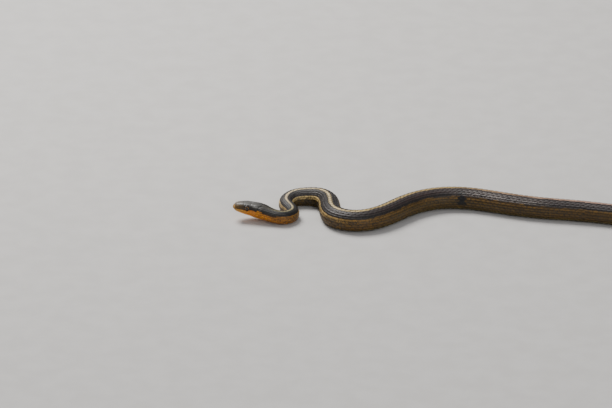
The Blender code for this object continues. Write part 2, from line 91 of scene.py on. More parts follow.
MOUTH = [
    (-0.0020, 0.0040), (0.0000, 0.0040), (0.0050, 0.0034), (0.0100, 0.0032),
    (0.0140, 0.0032), (0.0175, 0.0036), (0.0205, 0.0043), (0.0800, 0.0043),
]
NOSE_ROUND = 0.0034
TAIL_ROUND = 0.0016
WIDEST_AT = 0.45
BELLY_FLAT = 1.04
HEAD_SQUARE = (2.7, 2.2)
TRUNK_SQUARE = (2.2, 2.6)
SQUARE_CHANGE = (0.020, 0.034)
HEAD_LIFT, LIFT_FROM, LIFT_CURVE = 0.0060, 0.0500, 1.6
EYE_AT = (0.0100, 0.0043, 0.0066)
EYE_RADII = (0.00200, 0.00145, 0.00190)
JAW_END = 0.0205
LIP_RISE, LIP_FROM_MOUTH, LIP_SPREAD = 0.00022, 0.0009, 0.0006
LIP_FADE, SWELL_FADE = (JAW_END - 0.003, JAW_END + 0.001), 0.0006
BROW_RISE, BROW_HEIGHT, BROW_SPREAD = 0.00040, 0.0083, (0.0030, 0.0007)
SCUTE_RISE, SCUTE_RISE_FROM = 0.00025, (0.019, 0.026)
SCUTE_EDGE = math.radians(54)


# %% Curves through tables
def natural_spline(knots, values, where):
    """Values at many places of the curve through the knots whose bend has no jump."""
    steps = np.diff(knots)
    count = len(knots)
    system = np.zeros((count, count))
    known = np.zeros_like(values)
    system[0, 0] = system[-1, -1] = 1
    for i in range(1, count - 1):
        system[i, i - 1:i + 2] = steps[i - 1], 2 * (steps[i - 1] + steps[i]), steps[i]
        slopes = (values[i + 1] - values[i]) / steps[i], (values[i] - values[i - 1]) / steps[i - 1]
        known[i] = 6 * (slopes[0] - slopes[1])
    bend = np.linalg.solve(system, known)
    i = np.clip(np.searchsorted(knots, where) - 1, 0, count - 2)
    step = steps[i][:, None]
    after, before = (where - knots[i])[:, None], (knots[i + 1] - where)[:, None]
    cubic = (bend[i] * before ** 3 + bend[i + 1] * after ** 3) / (6 * step)
    left = (values[i] / step - bend[i] * step / 6) * before
    return cubic + left + (values[i + 1] / step - bend[i + 1] * step / 6) * after


def smooth_table(rows):
    """A curve through the rows of a table that never swings past them. The first column is the place."""
    table = np.asarray(rows, float)
    knots, values = table[:, 0], table[:, 1:]
    steps = np.diff(knots)[:, None]
    slopes = np.diff(values, axis=0) / steps
    weights = 2 * steps[1:] + steps[:-1], steps[1:] + 2 * steps[:-1]
    tangents = np.zeros_like(values)
    tangents[0], tangents[-1] = slopes[0], slopes[-1]
    same_way = slopes[:-1] * slopes[1:] > 0
    first, second = np.where(same_way, slopes[:-1], 1), np.where(same_way, slopes[1:], 1)
    mean = (weights[0] + weights[1]) / (weights[0] / first + weights[1] / second)
    tangents[1:-1] = np.where(same_way, mean, 0)

    def at(where):
        where = np.asarray(where, float)
        i = np.clip(np.searchsorted(knots, where) - 1, 0, len(knots) - 2)
        step = steps[i, 0]
        t = ((where - knots[i]) / step)[..., None]
        ends = (2 * t ** 3 - 3 * t ** 2 + 1) * values[i] + (3 * t ** 2 - 2 * t ** 3) * values[i + 1]
        turn = (t ** 3 - 2 * t ** 2 + t) * tangents[i] + (t ** 3 - t ** 2) * tangents[i + 1]
        return np.moveaxis(ends + step[..., None] * turn, -1, 0)

    return at


def smooth_step(low, high, where):
    t = np.clip((where - low) / (high - low), 0, 1)
    return t * t * (3 - 2 * t)


sizes = smooth_table(SIZES)
mouth = smooth_table(MOUTH)

# %% The spine over the ground
SAMPLE = 0.0002
route = np.asarray(ROUTE) - np.asarray(ROUTE_MIDDLE)
route_knots = np.concatenate([[0], np.cumsum(np.linalg.norm(np.diff(route, axis=0), axis=1))])
spine = natural_spline(route_knots, route, np.arange(0, route_knots[-1], SAMPLE))
run = np.concatenate([[0], np.cumsum(np.linalg.norm(np.diff(spine, axis=0), axis=1))])
print(f"spine {run[-1] * 1000:.1f} mm long")


def ground(s):
    return np.stack([np.interp(s, run, spine[:, k]) for k in (0, 1)], -1)


def belly_lift(s):
    return HEAD_LIFT * np.maximum(LIFT_FROM - s, 0) ** LIFT_CURVE / LIFT_FROM ** LIFT_CURVE


ROLL = math.radians(8.0)
ROLL_FROM, ROLL_TO = (0.140, 0.165), (0.360, 0.400)
AHEAD, PITCH_REACH = 0.0008, 0.0005


def roundness(s, angle):
    """0 on the stripe and 1 opposite it. The trunk lies rolled a little, with its stripe away."""
    roll = ROLL * smooth_step(*ROLL_FROM, s) * (1 - smooth_step(*ROLL_TO, s))
    turned = (angle - roll) % (2 * math.pi)
    return np.abs(turned - math.pi) / math.pi


def axes_at(s):
    """Middle of the belly line, and the ways to the snake's left and up, at many stations."""
    low = np.maximum(s - AHEAD, 0)
    way = ground(low + 2 * AHEAD) - ground(low)
    way /= np.linalg.norm(way, axis=-1, keepdims=True)
    pitch = np.arctan2(belly_lift(s + PITCH_REACH) - belly_lift(s - PITCH_REACH), 2 * PITCH_REACH)
    flat = np.zeros_like(pitch)
    back = np.stack([way[..., 0] * np.cos(pitch), way[..., 1] * np.cos(pitch), np.sin(pitch)], -1)
    left = np.stack([way[..., 1], -way[..., 0], flat], -1)
    origin = np.concatenate([ground(s), belly_lift(s)[..., None]], -1)
    return origin, left, np.cross(left, back)


# %% Points of the outline
def outline(s, angle):
    """Across and up from the middle of the belly line."""
    half, low, top = sizes(s)
    low = low + SCUTE_RISE * smooth_step(*SCUTE_RISE_FROM, s)
    wide = low + WIDEST_AT * (top - low)
    trunk = smooth_step(*SQUARE_CHANGE, s)
    across, up = np.sin(angle), -np.cos(angle)
    square = np.where(up < 0, (1 - trunk) * HEAD_SQUARE[1] + trunk * TRUNK_SQUARE[1],
                      (1 - trunk) * HEAD_SQUARE[0] + trunk * TRUNK_SQUARE[0])
    x = np.sign(across) * half * np.abs(across) ** (2 / square)
    rise = np.abs(up) ** (2 / square)
    z = np.where(up > 0, wide + rise * (top - wide), wide - np.minimum(BELLY_FLAT * rise, 1) * (wide - low))
    x = x + np.clip(x / SWELL_FADE, -1, 1) * swell(s, z)
    round_off = np.sqrt(np.clip(1 - (1 - np.minimum(s / NOSE_ROUND, 1)) ** 2, 0, 1))
    tail = np.clip((s - TOTAL_LENGTH + TAIL_ROUND) / TAIL_ROUND, 0, 1)
    round_off = round_off * np.sqrt(1 - tail ** 2)
    return x * round_off, wide + (z - wide) * round_off


def swell(s, z):
    """Lips and brow standing out of the plain outline."""
    end = 1 - smooth_step(*LIP_FADE, s)
    line = mouth(s)[0]
    lips = sum(np.exp(-((z - line - side * LIP_FROM_MOUTH) / LIP_SPREAD) ** 2) for side in (-1, 1))
    brow = np.exp(-((s - EYE_AT[0]) / BROW_SPREAD[0]) ** 2 - ((z - BROW_HEIGHT) / BROW_SPREAD[1]) ** 2)
    return smooth_step(0, NOSE_ROUND, s) * (LIP_RISE * lips * end + BROW_RISE * brow)


def place(s, angle):
    x, z = outline(s, angle)
    origin, left, up = axes_at(s)
    return origin + left * x[..., None] + up * z[..., None]


SLOPE_REACH, SLOPE_TURN = 0.0001, math.radians(1.5)


def over(s, angle, rise):
    """Points at a height over the outline, or under it where the height is negative."""
    s, angle, rise = np.broadcast_arrays(np.asarray(s, float), angle, rise)
    along = place(s + SLOPE_REACH, angle) - place(np.maximum(s - SLOPE_REACH, 0), angle)
    round_it = place(s, angle + SLOPE_TURN) - place(s, angle - SLOPE_TURN)
    out = np.cross(along, round_it)
    out /= np.maximum(np.linalg.norm(out, axis=-1, keepdims=True), 1e-12)
    return place(s, angle) + out * rise[..., None]


def solve(low, high, before):
    """For many places at once, the value where a test that is true below it turns false."""
    for _ in range(26):
        middle = (low + high) / 2
        rises = before(middle)
        low, high = np.where(rises, middle, low), np.where(rises, high, middle)
    return (low + high) / 2


# %% [markdown]
# ## Short ways to build a material
# A finish is a tree of nodes. Written out one by one the nodes hide what they are for, so a few small helpers
# add a node and link it in one line. A colour that varies goes through a group, and the numbers that are the
# same all over a surface are set on the shader itself.

# %% Node helpers
def add(tree, kind, inputs=None, **settings):
    node = tree.nodes.new(kind)
    for key, value in settings.items():
        setattr(node, key, value)
    for key, value in (inputs or {}).items():
        if isinstance(value, bpy.types.NodeSocket):
            tree.links.new(value, node.inputs[key])
        else:
            node.inputs[key].default_value = value
    return node


def maths(tree, operation, first, second):
    return add(tree, "ShaderNodeMath", {0: first, 1: second}, operation=operation).outputs[0]


def times(tree, first, second):
    return maths(tree, "MULTIPLY", first, second)


def plus(tree, first, second):
    return maths(tree, "ADD", first, second)


def minus(tree, first, second):
    return maths(tree, "SUBTRACT", first, second)


def from_to(tree, value, low, rise):
    """A number from 0 to 1, stretched to run from low up by the rise."""
    return plus(tree, low, times(tree, value, rise))


def between(tree, value, low, high):
    """0 below the low limit, 1 above the high one, and smooth in between."""
    inputs = {"Value": value, "From Min": low, "From Max": high}
    return add(tree, "ShaderNodeMapRange", inputs, interpolation_type="SMOOTHSTEP").outputs["Result"]


def mix(tree, share, first, second, blend="MIX"):
    """Two colours mixed. The numbered sockets are the colour ones of the mix node."""
    inputs = {0: share, 6: first, 7: second}
    return add(tree, "ShaderNodeMix", inputs, data_type="RGBA", blend_type=blend).outputs[2]


def ramp(tree, place_on_it, stops):
    node = add(tree, "ShaderNodeValToRGB", {"Fac": place_on_it})
    elements = node.color_ramp.elements
    while len(elements) < len(stops):
        elements.new(0.5)
    for element, (position, colour) in zip(elements, stops):
        element.position = position
        element.color = (*colour, 1)
    return node.outputs["Color"]


def noise(tree, scale, detail=3.0, rough=0.5, stretch=None):
    spot = add(tree, "ShaderNodeTexCoord").outputs["Object"]
    if stretch:
        spot = add(tree, "ShaderNodeMapping", {"Vector": spot, "Scale": stretch}).outputs[0]
    inputs = {"Vector": spot, "Scale": scale, "Detail": detail, "Roughness": rough}
    return add(tree, "ShaderNodeTexNoise", inputs).outputs["Fac"]


# %% Groups and materials
def group(name, inputs, outputs):
    """An empty node group with the named sockets, and its two end nodes."""
    tree = bpy.data.node_groups.new(name, "ShaderNodeTree")
    for title, kind in inputs:
        tree.interface.new_socket(title, in_out="INPUT", socket_type=kind)
    for title, kind in outputs:
        tree.interface.new_socket(title, in_out="OUTPUT", socket_type=kind)
    return tree, tree.nodes.new("NodeGroupInput").outputs, tree.nodes.new("NodeGroupOutput").inputs


def read(tree, name):
    """A number that the mesh carries at every point."""
    return add(tree, "ShaderNodeAttribute", attribute_name=name).outputs["Fac"]


def use(tree, made, **inputs):
    return add(tree, "ShaderNodeGroup", inputs, node_tree=made).outputs


def material(name, roughness, specular=0.5, coat=0.0):
    made = bpy.data.materials.new(name)
    made.use_nodes = True
    shader = made.node_tree.nodes["Principled BSDF"]
    shader.inputs["Roughness"].default_value = roughness
    shader.inputs["Specular IOR Level"].default_value = specular
    shader.inputs["Coat Weight"].default_value = coat
    shader.inputs["Coat Roughness"].default_value = 0.08
    return made, made.node_tree, shader.inputs


NUMBER, COLOUR = "NodeSocketFloat", "NodeSocketColor"

# %% [markdown]
# ## The markings
# A garter snake wears a pale stripe down the back, a dark band on each side of it, a second stripe low on the
# flank and a plain belly. All of them follow the body, so one group paints them from the two numbers of a
# point, Along from the snout and Round from the back. Each band has its own ramp down the body: the throat
# is orange, the first loop is slate with cream stripes, and the trunk turns brown and old gold. Skin and
# scales both use this group, so they always agree.

# %% The bands of colour
STRIPE_EDGE, DARK_EDGE, SIDE_EDGE, FLANK_EDGE = 0.054, 0.346, 0.446, 0.690
STRIPE_SOFT, DARK_SOFT, SIDE_SOFT, FLANK_SOFT = 0.008, 0.01, 0.03, 0.015
WANDER, RAGGED = 0.030, 0.012
LOWER_ROW = (0.245, 0.275)
STRIPE_COLOURS = [
    (0, (66, 64, 58)), (24, (54, 50, 42)), (44, (140, 130, 88)), (60, (200, 178, 138)),
    (135, (200, 178, 130)), (160, (176, 150, 92)), (230, (172, 144, 88)), (275, (186, 150, 116)),
    (340, (202, 162, 142)), (480, (196, 170, 132)), (680, (176, 154, 116)),
]
DARK_COLOURS = [
    (0, (54, 52, 46)), (24, (42, 38, 32)), (42, (26, 24, 22)), (62, (48, 44, 43)), (115, (40, 35, 33)),
    (150, (36, 25, 23)), (200, (44, 29, 26)), (340, (42, 28, 26)), (680, (54, 40, 36)),
]
SIDE_COLOURS = [
    (0, (176, 112, 30)), (24, (172, 110, 26)), (34, (152, 100, 30)), (44, (138, 98, 42)),
    (64, (212, 184, 124)), (115, (206, 174, 112)), (150, (126, 94, 42)), (180, (104, 78, 32)),
    (340, (100, 74, 30)), (680, (104, 84, 44)),
]
FLANK_COLOURS = [
    (0, (190, 116, 22)), (24, (182, 112, 20)), (34, (158, 100, 24)), (46, (124, 88, 30)),
    (66, (88, 68, 26)), (115, (84, 66, 28)), (152, (108, 78, 26)), (180, (88, 68, 24)),
    (340, (84, 62, 22)), (680, (96, 78, 38)),
]
BELLY_COLOURS = [
    (0, (208, 146, 70)), (24, (196, 126, 48)), (60, (112, 88, 42)), (180, (96, 82, 44)),
    (450, (104, 88, 50)), (680, (116, 98, 62)),
]
STRIPE_NARROWING = [(130, 0.0), (165, 0.014), (340, 0.014), (400, 0.0)]
LOWER_ROW_SHARES = [(40, 0.2), (120, 0.3), (150, 0.75), (230, 0.6), (250, 0.2), (290, 0.5), (680, 0.5)]
BLOTCH_DARK = (0.016, 0.014, 0.012, 1)


def tint(red, green, blue):
    """A colour as it is seen, turned into the even scale that the shaders count in."""
    return tuple((value / 255) ** 2.2 for value in (red, green, blue))


def down_body(tree, along, colours):
    """A ramp with its stops in millimetres from the snout."""
    return ramp(tree, along, [(place_mm * MM / TOTAL_LENGTH, tint(*colour)) for place_mm, colour in colours])


def share_down_body(tree, along, shares):
    return ramp(tree, along, [(place_mm * MM / TOTAL_LENGTH, (share,) * 3) for place_mm, share in shares])


# %% Paint the bands
def past(tree, value, edge, soft):
    """0 before an edge and 1 past it."""
    return between(tree, value, edge - soft, edge + soft)


markings, given, out = group(
    "markings", [("Along", NUMBER), ("Round", NUMBER), ("Chance", NUMBER)],
    [("Colour", COLOUR), ("Dark", NUMBER)])
along, round_it, chance = given["Along"], given["Round"], given["Chance"]
wander = minus(markings, noise(markings, 160), 0.5)
ragged = minus(markings, chance, 0.5)
at = plus(markings, round_it, times(markings, wander, WANDER))
at = plus(markings, at, times(markings, ragged, RAGGED))
narrow = share_down_body(markings, along, STRIPE_NARROWING)
past_stripe = past(markings, plus(markings, at, narrow), STRIPE_EDGE, STRIPE_SOFT)
past_dark = past(markings, at, DARK_EDGE, DARK_SOFT)
in_dark = minus(markings, past_stripe, past_dark)
painted = mix(markings, past_stripe, down_body(markings, along, STRIPE_COLOURS),
              down_body(markings, along, DARK_COLOURS))
# The lowest row of the dark band is darkened towards black where its share is high: partly a row of dark
# spots, partly painted shade along the row over the side stripe
lower_row = times(markings, between(markings, at, *LOWER_ROW),
                  share_down_body(markings, along, LOWER_ROW_SHARES))
painted = mix(markings, lower_row, painted, BLOTCH_DARK)
painted = mix(markings, past_dark, painted, down_body(markings, along, SIDE_COLOURS))
past_side = past(markings, at, SIDE_EDGE, SIDE_SOFT)
painted = mix(markings, past_side, painted, down_body(markings, along, FLANK_COLOURS))
past_flank = past(markings, at, FLANK_EDGE, FLANK_SOFT)
painted = mix(markings, past_flank, painted, down_body(markings, along, BELLY_COLOURS))
print("markings group has", len(markings.nodes), "nodes")

# %% [markdown]
# Garter snakes of this kind also have loose dark spots low on the flanks, strongest on the first bends and
# fading on the trunk, and a black blotch behind each corner of the jaw. A spot covers whole scales, so it
# follows the chance number that every scale carries, and not a smooth noise. A fine speckle under the dark
# band does follow a noise. This snake also has one black notch low on the side of its trunk.

# %% Spots and blotches
SPOT_SHARES = [(30, 0.0), (44, 0.35), (66, 0.6), (110, 0.6), (150, 0.45), (190, 0.2), (680, 0.25)]
SPECKLE_SHARES = [(22, 0.1), (32, 0.45), (44, 0.75), (70, 0.7), (130, 0.85), (165, 0.6), (680, 0.5)]
NOTCH_DARK = (0.003, 0.002, 0.002, 1)


def window(tree, value, low, high, soft):
    """1 between two limits, with soft ends."""
    ends = past(tree, value, high, soft)
    return minus(tree, past(tree, value, low, soft), ends)


def grey(tree, value):
    return add(tree, "ShaderNodeCombineColor", {0: value, 1: value, 2: value}).outputs[0]


def patch(along_window, round_window):
    """A mark between two places along the body and two round it."""
    return times(markings, window(markings, along, *along_window), window(markings, at, *round_window))


spots = times(markings, between(markings, chance, 0.62, 0.68), window(markings, at, 0.41, 0.68, 0.03))
spots = times(markings, spots, share_down_body(markings, along, SPOT_SHARES))
painted = mix(markings, spots, painted, BLOTCH_DARK)
speckle = times(markings, between(markings, noise(markings, 950, 2.0), 0.50, 0.60),
                between(markings, at, DARK_EDGE, DARK_EDGE + 0.05))
speckle = times(markings, speckle, share_down_body(markings, along, SPECKLE_SHARES))
painted = mix(markings, speckle, painted, BLOTCH_DARK)
nape = patch((0.0345, 0.0500, 0.0022), (0.13, 0.42, 0.03))
painted = mix(markings, times(markings, nape, 0.92), painted, BLOTCH_DARK)
notch = patch((0.3500, 0.3592, 0.0012), (0.18, 0.58, 0.02))
painted = mix(markings, notch, painted, NOTCH_DARK)
tone = from_to(markings, chance, 0.74, 0.52)
cloud = from_to(markings, noise(markings, 70), 0.70, 0.60)
painted = mix(markings, 1.0, painted, grey(markings, times(markings, tone, cloud)), "MULTIPLY")
markings.links.new(painted, out["Colour"])
markings.links.new(in_dark, out["Dark"])

# %% [markdown]
# ## The finish of a scale
# A scale is horn over skin. Its keel is painted lighter as a highlight, its rim and hidden sides are painted
# darker as shade, a low keel runs down its length, and its surface is finely grained. One group turns the
# place on the scale into a colour, a roughness and a height for the bump, and the horn and the skin of the
# snake both use it.

# %% Tone, painted edge shade, painted keel highlight and grain of horn
horn, given, out = group(
    "horn", [("Colour", COLOUR), ("Rim", NUMBER), ("Grain", NUMBER)],
    [("Colour", COLOUR), ("Roughness", NUMBER), ("Height", NUMBER)])
fine = noise(horn, 2600, 5.0, 0.6)
patchy = noise(horn, 420, 3.0, 0.5)
shade = from_to(horn, patchy, 0.78, 0.44)
# Rim darkens the colour as painted shade at edges and seams, and lightens it as a painted highlight where it
# is negative on the keel
shade = times(horn, shade, minus(horn, 1.0, times(horn, given["Rim"], 0.62)))
toned = mix(horn, 1.0, given["Colour"], grey(horn, shade), "MULTIPLY")
horn.links.new(toned, out["Colour"])
horn.links.new(from_to(horn, fine, 0.36, 0.24), out["Roughness"])
horn.links.new(times(horn, fine, given["Grain"]), out["Height"])


def bump_up(tree, sockets, height, strength):
    inputs = {"Height": height, "Strength": strength, "Distance": 0.1 * MM}
    tree.links.new(add(tree, "ShaderNodeBump", inputs).outputs["Normal"], sockets["Normal"])


def finish_horn(tree, sockets, colour, rim, bump=0.25):
    made = use(tree, horn, Colour=colour, Rim=rim, Grain=1.0)
    tree.links.new(made["Colour"], sockets["Base Color"])
    tree.links.new(made["Roughness"], sockets["Roughness"])
    bump_up(tree, sockets, made["Height"], bump)


def paint(tree, chance):
    """The markings at every point of a surface that carries its own place on the body."""
    return use(tree, markings, Along=read(tree, "along"), Round=read(tree, "round"), Chance=chance)


# %% Materials of scales and scutes
scale_coat, tree, sockets = material("scale_coat", 0.42, 0.40)
painted = paint(tree, read(tree, "chance"))
finish_horn(tree, sockets, painted["Colour"], read(tree, "rim"))

scute_coat, tree, sockets = material("scute_coat", 0.36, 0.5)
painted = paint(tree, 0.5)
finish_horn(tree, sockets, painted["Colour"], read(tree, "rim"), bump=0.15)

# %% [markdown]
# The skin between the scales is soft and thin. Under the dark bands it shows as small pale flecks where the
# body swells and the scales draw apart, as they do behind the middle of this snake. Elsewhere it is darkened
# most of the way to black as painted shade in the gaps between the scales, and on the head it is near black
# as painted shade in the seams, the mouth and the nostrils, but orange along the lips.

# %% Material of the soft skin
PALE_SKIN = (0.42, 0.35, 0.30, 1)
# Near black: painted shade in the gaps between the scales, and on the head in the seams, the mouth and the
# nostrils
DARK_SKIN, HEAD_SKIN = (0.012, 0.010, 0.009, 1), (0.016, 0.012, 0.009, 1)
FLECK_SHARES = [
    (30, 0.0), (60, 0.6), (110, 0.6), (140, 0.3), (228, 0.25), (246, 1.0), (294, 0.95), (318, 0.3),
    (325, 0.0), (336, 0.0), (350, 0.3), (490, 0.3), (498, 0.0),
]
soft_skin, tree, sockets = material("soft_skin", 0.55, 0.4)
painted = paint(tree, 0.35)
# The skin is mixed most of the way to near black, a painted shade in the gaps between the scales
shaded = mix(tree, 0.65, painted["Colour"], DARK_SKIN)
flecks = times(tree, between(tree, noise(tree, 260), 0.34, 0.52), painted["Dark"])
flecks = times(tree, flecks, from_to(tree, between(tree, read(tree, "round"), 0.13, 0.22), 0.3, 0.7))
flecks = times(tree, flecks, share_down_body(tree, read(tree, "along"), FLECK_SHARES))
skin_colour = mix(tree, flecks, shaded, PALE_SKIN)
on_head = minus(tree, 1.0, between(tree, read(tree, "along"), 0.026, 0.032))
behind_lip = times(tree, between(tree, read(tree, "along"), 0.0262, 0.0275), 0.12)
lip_skin = between(tree, plus(tree, read(tree, "round"), behind_lip), 0.50, 0.60)
# The head skin is near black as painted shade in seams and pits, and orange along the lips
head_colour = mix(tree, lip_skin, HEAD_SKIN, (*tint(138, 78, 28), 1))
skin_colour = mix(tree, on_head, skin_colour, head_colour)
finish_horn(tree, sockets, skin_colour, 0.0, bump=0.4)

# %% [markdown]
# ## One skin from snout to tail
# The soft skin is one closed tube, so that no seam shows where the solids part. It starts as a flat grid, one
# row of points for each ring, and the rows are wrapped round the outlines. A grid wraps more quickly than
# hundreds of bridged circles. Its two long edges meet under the belly and are merged there, and each end
# runs to a single point. On the head three columns of points follow the mouth, so its line can be pressed in.

# %% Rings of the skin
SKIN_DEPTH = 0.00022
SKIN_SIDES = 84
NOSE_RINGS, HEAD_RINGS, TRUNK_RINGS, TIP_RINGS = 22, 76, 690, 9
MOUTH_COLUMN = 20
MOUTH_HALF_WIDTH = 0.00011
MOUTH_DEPTH = 0.00050
HOLLOW_DEPTH, HOLLOW_GROWN = 0.0009, 1.04
NOSTRIL_AT, NOSTRIL_DEPTH = (0.0021, 0.0056), 0.0006


def skin_stations():
    nose = NOSE_ROUND * (1 - np.cos(np.radians(np.linspace(0, 90, NOSE_RINGS))))
    head = np.linspace(NOSE_ROUND, HEAD_LENGTH, HEAD_RINGS)[1:]
    trunk = np.linspace(HEAD_LENGTH, TOTAL_LENGTH - TAIL_ROUND, TRUNK_RINGS)[1:]
    tip = TOTAL_LENGTH - TAIL_ROUND * (1 - np.sin(np.radians(np.linspace(0, 90, TIP_RINGS)[1:])))
    return np.concatenate([nose, head, trunk, tip])


def mouth_angle(s):
    line = mouth(s)[0]
    low, high = np.full(len(s), 0.12), np.full(len(s), math.pi)
    return solve(low, high, lambda angle: outline(s, angle)[1] < line)


def skin_angles(s):
    """The angles of every ring. Those of the head close up to the line of the mouth."""
    even = np.linspace(0, math.pi, SKIN_SIDES // 2 + 1)
    half = outline(np.maximum(s, 0.0006), np.full(len(s), math.pi / 2))[0]
    middle = mouth_angle(s)
    wide = np.minimum(MOUTH_HALF_WIDTH / np.maximum(half, 0.0004), 0.08)
    warped = np.empty((len(s), len(even)))
    knots = [0, MOUTH_COLUMN - 1, MOUTH_COLUMN, MOUTH_COLUMN + 1, len(even) - 1]
    for row, (centre, side) in enumerate(zip(middle, wide)):
        angles = [0, centre - side, centre, centre + side, math.pi]
        warped[row] = np.interp(np.arange(len(even)), knots, angles)
    share = smooth_step(JAW_END, HEAD_LENGTH + 0.002, s)[:, None]
    side = (1 - share) * warped + share * even
    return np.concatenate([side, 2 * math.pi - side[:, -2::-1]], axis=1)


stations = skin_stations()
ring_angles = skin_angles(stations)
print("skin grid", ring_angles.shape)


# %% Press in the mouth and the eye hollows
def eye_distance(s, angle):
    """How far a place lies from the middle of the eye, where 1 is its edge."""
    x, z = outline(s, angle)
    flat = np.hypot((s - EYE_AT[0]) / (EYE_RADII[0] * HOLLOW_GROWN),
                    (z - EYE_AT[2]) / (EYE_RADII[2] * HOLLOW_GROWN))
    return np.where(np.abs(x) > 0.0025, flat, 9.0)


def skin_depth(s, angle):
    """How far the skin lies under the outline, with the mouth, the eyes and the nostrils pressed in."""
    depth = -SKIN_DEPTH * np.sqrt(np.clip((TOTAL_LENGTH - s) / TAIL_ROUND, 0, 1))
    columns = np.arange(angle.shape[1])
    in_mouth = (columns == MOUTH_COLUMN) | (columns == angle.shape[1] - 1 - MOUTH_COLUMN)
    ends = smooth_step(0.0003, 0.0012, s) * (1 - smooth_step(JAW_END - 0.0025, JAW_END, s))
    depth -= in_mouth[None, :] * ends * MOUTH_DEPTH
    depth -= HOLLOW_DEPTH * (1 - smooth_step(0.82, 1.0, eye_distance(s, angle)))
    x, z = outline(s, angle)
    pit = np.hypot(s - NOSTRIL_AT[0], z - NOSTRIL_AT[1])
    depth -= NOSTRIL_DEPTH * (1 - smooth_step(0.0001, 0.0005, pit)) * (np.abs(x) > 0.001)
    return depth


SHARP_FROM = math.radians(48)


def set_numbers(mesh, **numbers):
    for name, values in numbers.items():
        attribute = mesh.attributes.new(name, "FLOAT", "POINT")
        attribute.data.foreach_set("value", np.ascontiguousarray(values, np.float32).ravel())


def show(name, data):
    """A new object in the scene."""
    made = bpy.data.objects.new(name, data)
    bpy.context.scene.collection.objects.link(made)
    return made


def mesh_from(name, bm):
    mesh = bpy.data.meshes.new(name)
    bm.to_mesh(mesh)
    bm.free()
    return mesh


def finish_piece(name, mesh, coat, slot, *replaced):
    """Smooth faces, a material, a body to ride on and the solids that the piece stands for."""
    mesh.materials.append(coat)
    mesh.shade_smooth()
    mesh.set_sharp_from_angle(angle=SHARP_FROM)
    piece = show(name, mesh)
    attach(piece, "root")
    if replaced:
        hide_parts(*replaced)
    mesh.calc_loop_triangles()
    print(f"{name}: {len(mesh.loop_triangles)} triangles")


# %% Wrap the grid into the skin
FLESH = sorted(set(frame["nodes"]) - {"left_eye", "right_eye"})
MERGE = 1e-6
s_grid = np.repeat(stations[:, None], ring_angles.shape[1], 1)
rows, columns = s_grid.shape
skin_points = over(s_grid, ring_angles, skin_depth(s_grid, ring_angles))
skin_points[0], skin_points[-1] = skin_points[0].mean(0), skin_points[-1].mean(0)
skin_points[:, -1] = skin_points[:, 0]

bm = bmesh.new()
bm.loops.layers.uv.new("OFBake")
bmesh.ops.create_grid(bm, x_segments=rows - 1, y_segments=columns - 1, size=0.5, calc_uvs=True)
bm.verts.ensure_lookup_table()
flat = np.array([vert.co[:2] for vert in bm.verts]) + 0.5
row_of = np.rint(flat[:, 0] * (rows - 1)).astype(int)
column_of = np.rint(flat[:, 1] * (columns - 1)).astype(int)
along_of, round_of = bm.verts.layers.float.new("along"), bm.verts.layers.float.new("round")
rounds = roundness(s_grid, ring_angles)
for vert, row, column in zip(bm.verts, row_of, column_of):
    vert.co = skin_points[row, column]
    vert[along_of] = stations[row] / TOTAL_LENGTH
    vert[round_of] = rounds[row, column]
bmesh.ops.remove_doubles(bm, verts=bm.verts, dist=MERGE)
bmesh.ops.recalc_face_normals(bm, faces=bm.faces)
print("skin open edges:", sum(len(edge.link_faces) != 2 for edge in bm.edges))
finish_piece("skin", mesh_from("skin", bm), soft_skin, "striped_skin", *FLESH)

# %% [markdown]
# ## One keeled scale
# Each scale of the back is shaped like a lance head, longer than the space it fills, by a third where the
# rows lie close, so that its free tip lies over the root of the next. A raised keel runs down its middle. One
# such scale is drawn from a flat grid: the sides are drawn in towards the tip, and the whole is thickened by
# an extrusion that keeps the first face as its underside. Wrapping it round the body mirrors it, so the
# corners of its faces are named in reverse to keep them facing outwards.

# %% Draw the scale
SCALE_COLUMNS = np.array([-1, -0.55, -0.15, 0, 0.15, 0.55, 1])
SCALE_ROWS = np.array([0, 0.33, 0.62, 0.86, 1])
SCALE_WIDTHS = np.array([0.62, 0.98, 0.93, 0.60, 0.16])


def thicken(bm):
    """A second layer one unit over a flat grid, with sides between the two."""
    made = bmesh.ops.extrude_face_region(bm, geom=list(bm.faces), use_keep_orig=True)
    top = [part for part in made["geom"] if isinstance(part, bmesh.types.BMVert)]
    bmesh.ops.translate(bm, vec=(0, 0, 1), verts=top)


def points_and_faces(bm):
    """The drawn shape as points (across, along, top or not) and faces."""
    bmesh.ops.recalc_face_normals(bm, faces=bm.faces)
    bm.verts.ensure_lookup_table()
    points = np.array([vert.co for vert in bm.verts])
    faces = [[vert.index for vert in reversed(face.verts)] for face in bm.faces]
    bm.free()
    return points, faces


def draw_scale():
    bm = bmesh.new()
    bmesh.ops.create_grid(bm, x_segments=6, y_segments=4, size=1)
    for vert in bm.verts:
        column, row = round((vert.co.x + 1) * 3), round((vert.co.y + 1) * 2)
        vert.co = SCALE_COLUMNS[column] * SCALE_WIDTHS[row], SCALE_ROWS[row], 0
    thicken(bm)
    floor = [face for face in bm.faces if all(vert.co.z < 0.5 for vert in face.verts)]
    bmesh.ops.dissolve_faces(bm, faces=floor)
    return points_and_faces(bm)


scale_points, scale_faces = draw_scale()
print("one scale:", len(scale_points), "points,", len(scale_faces), "faces")

# %% [markdown]
# Thousands of copies of the scale are joined into one mesh per length of the body. The flat drawing used for
# the textures gives each scale a cell of its own at its root's place on the unrolled skin: the top face in
# the middle, the thin sides round it, and the underside as a small patch in the corner.


# %% Copy a shape many times
UNDERSIDE_CORNER, UNDERSIDE_SIZE = 0.01, 0.05
CELL_MIDDLE, TOP_HALF, SIDES_HALF = 0.54, 0.40, 0.46


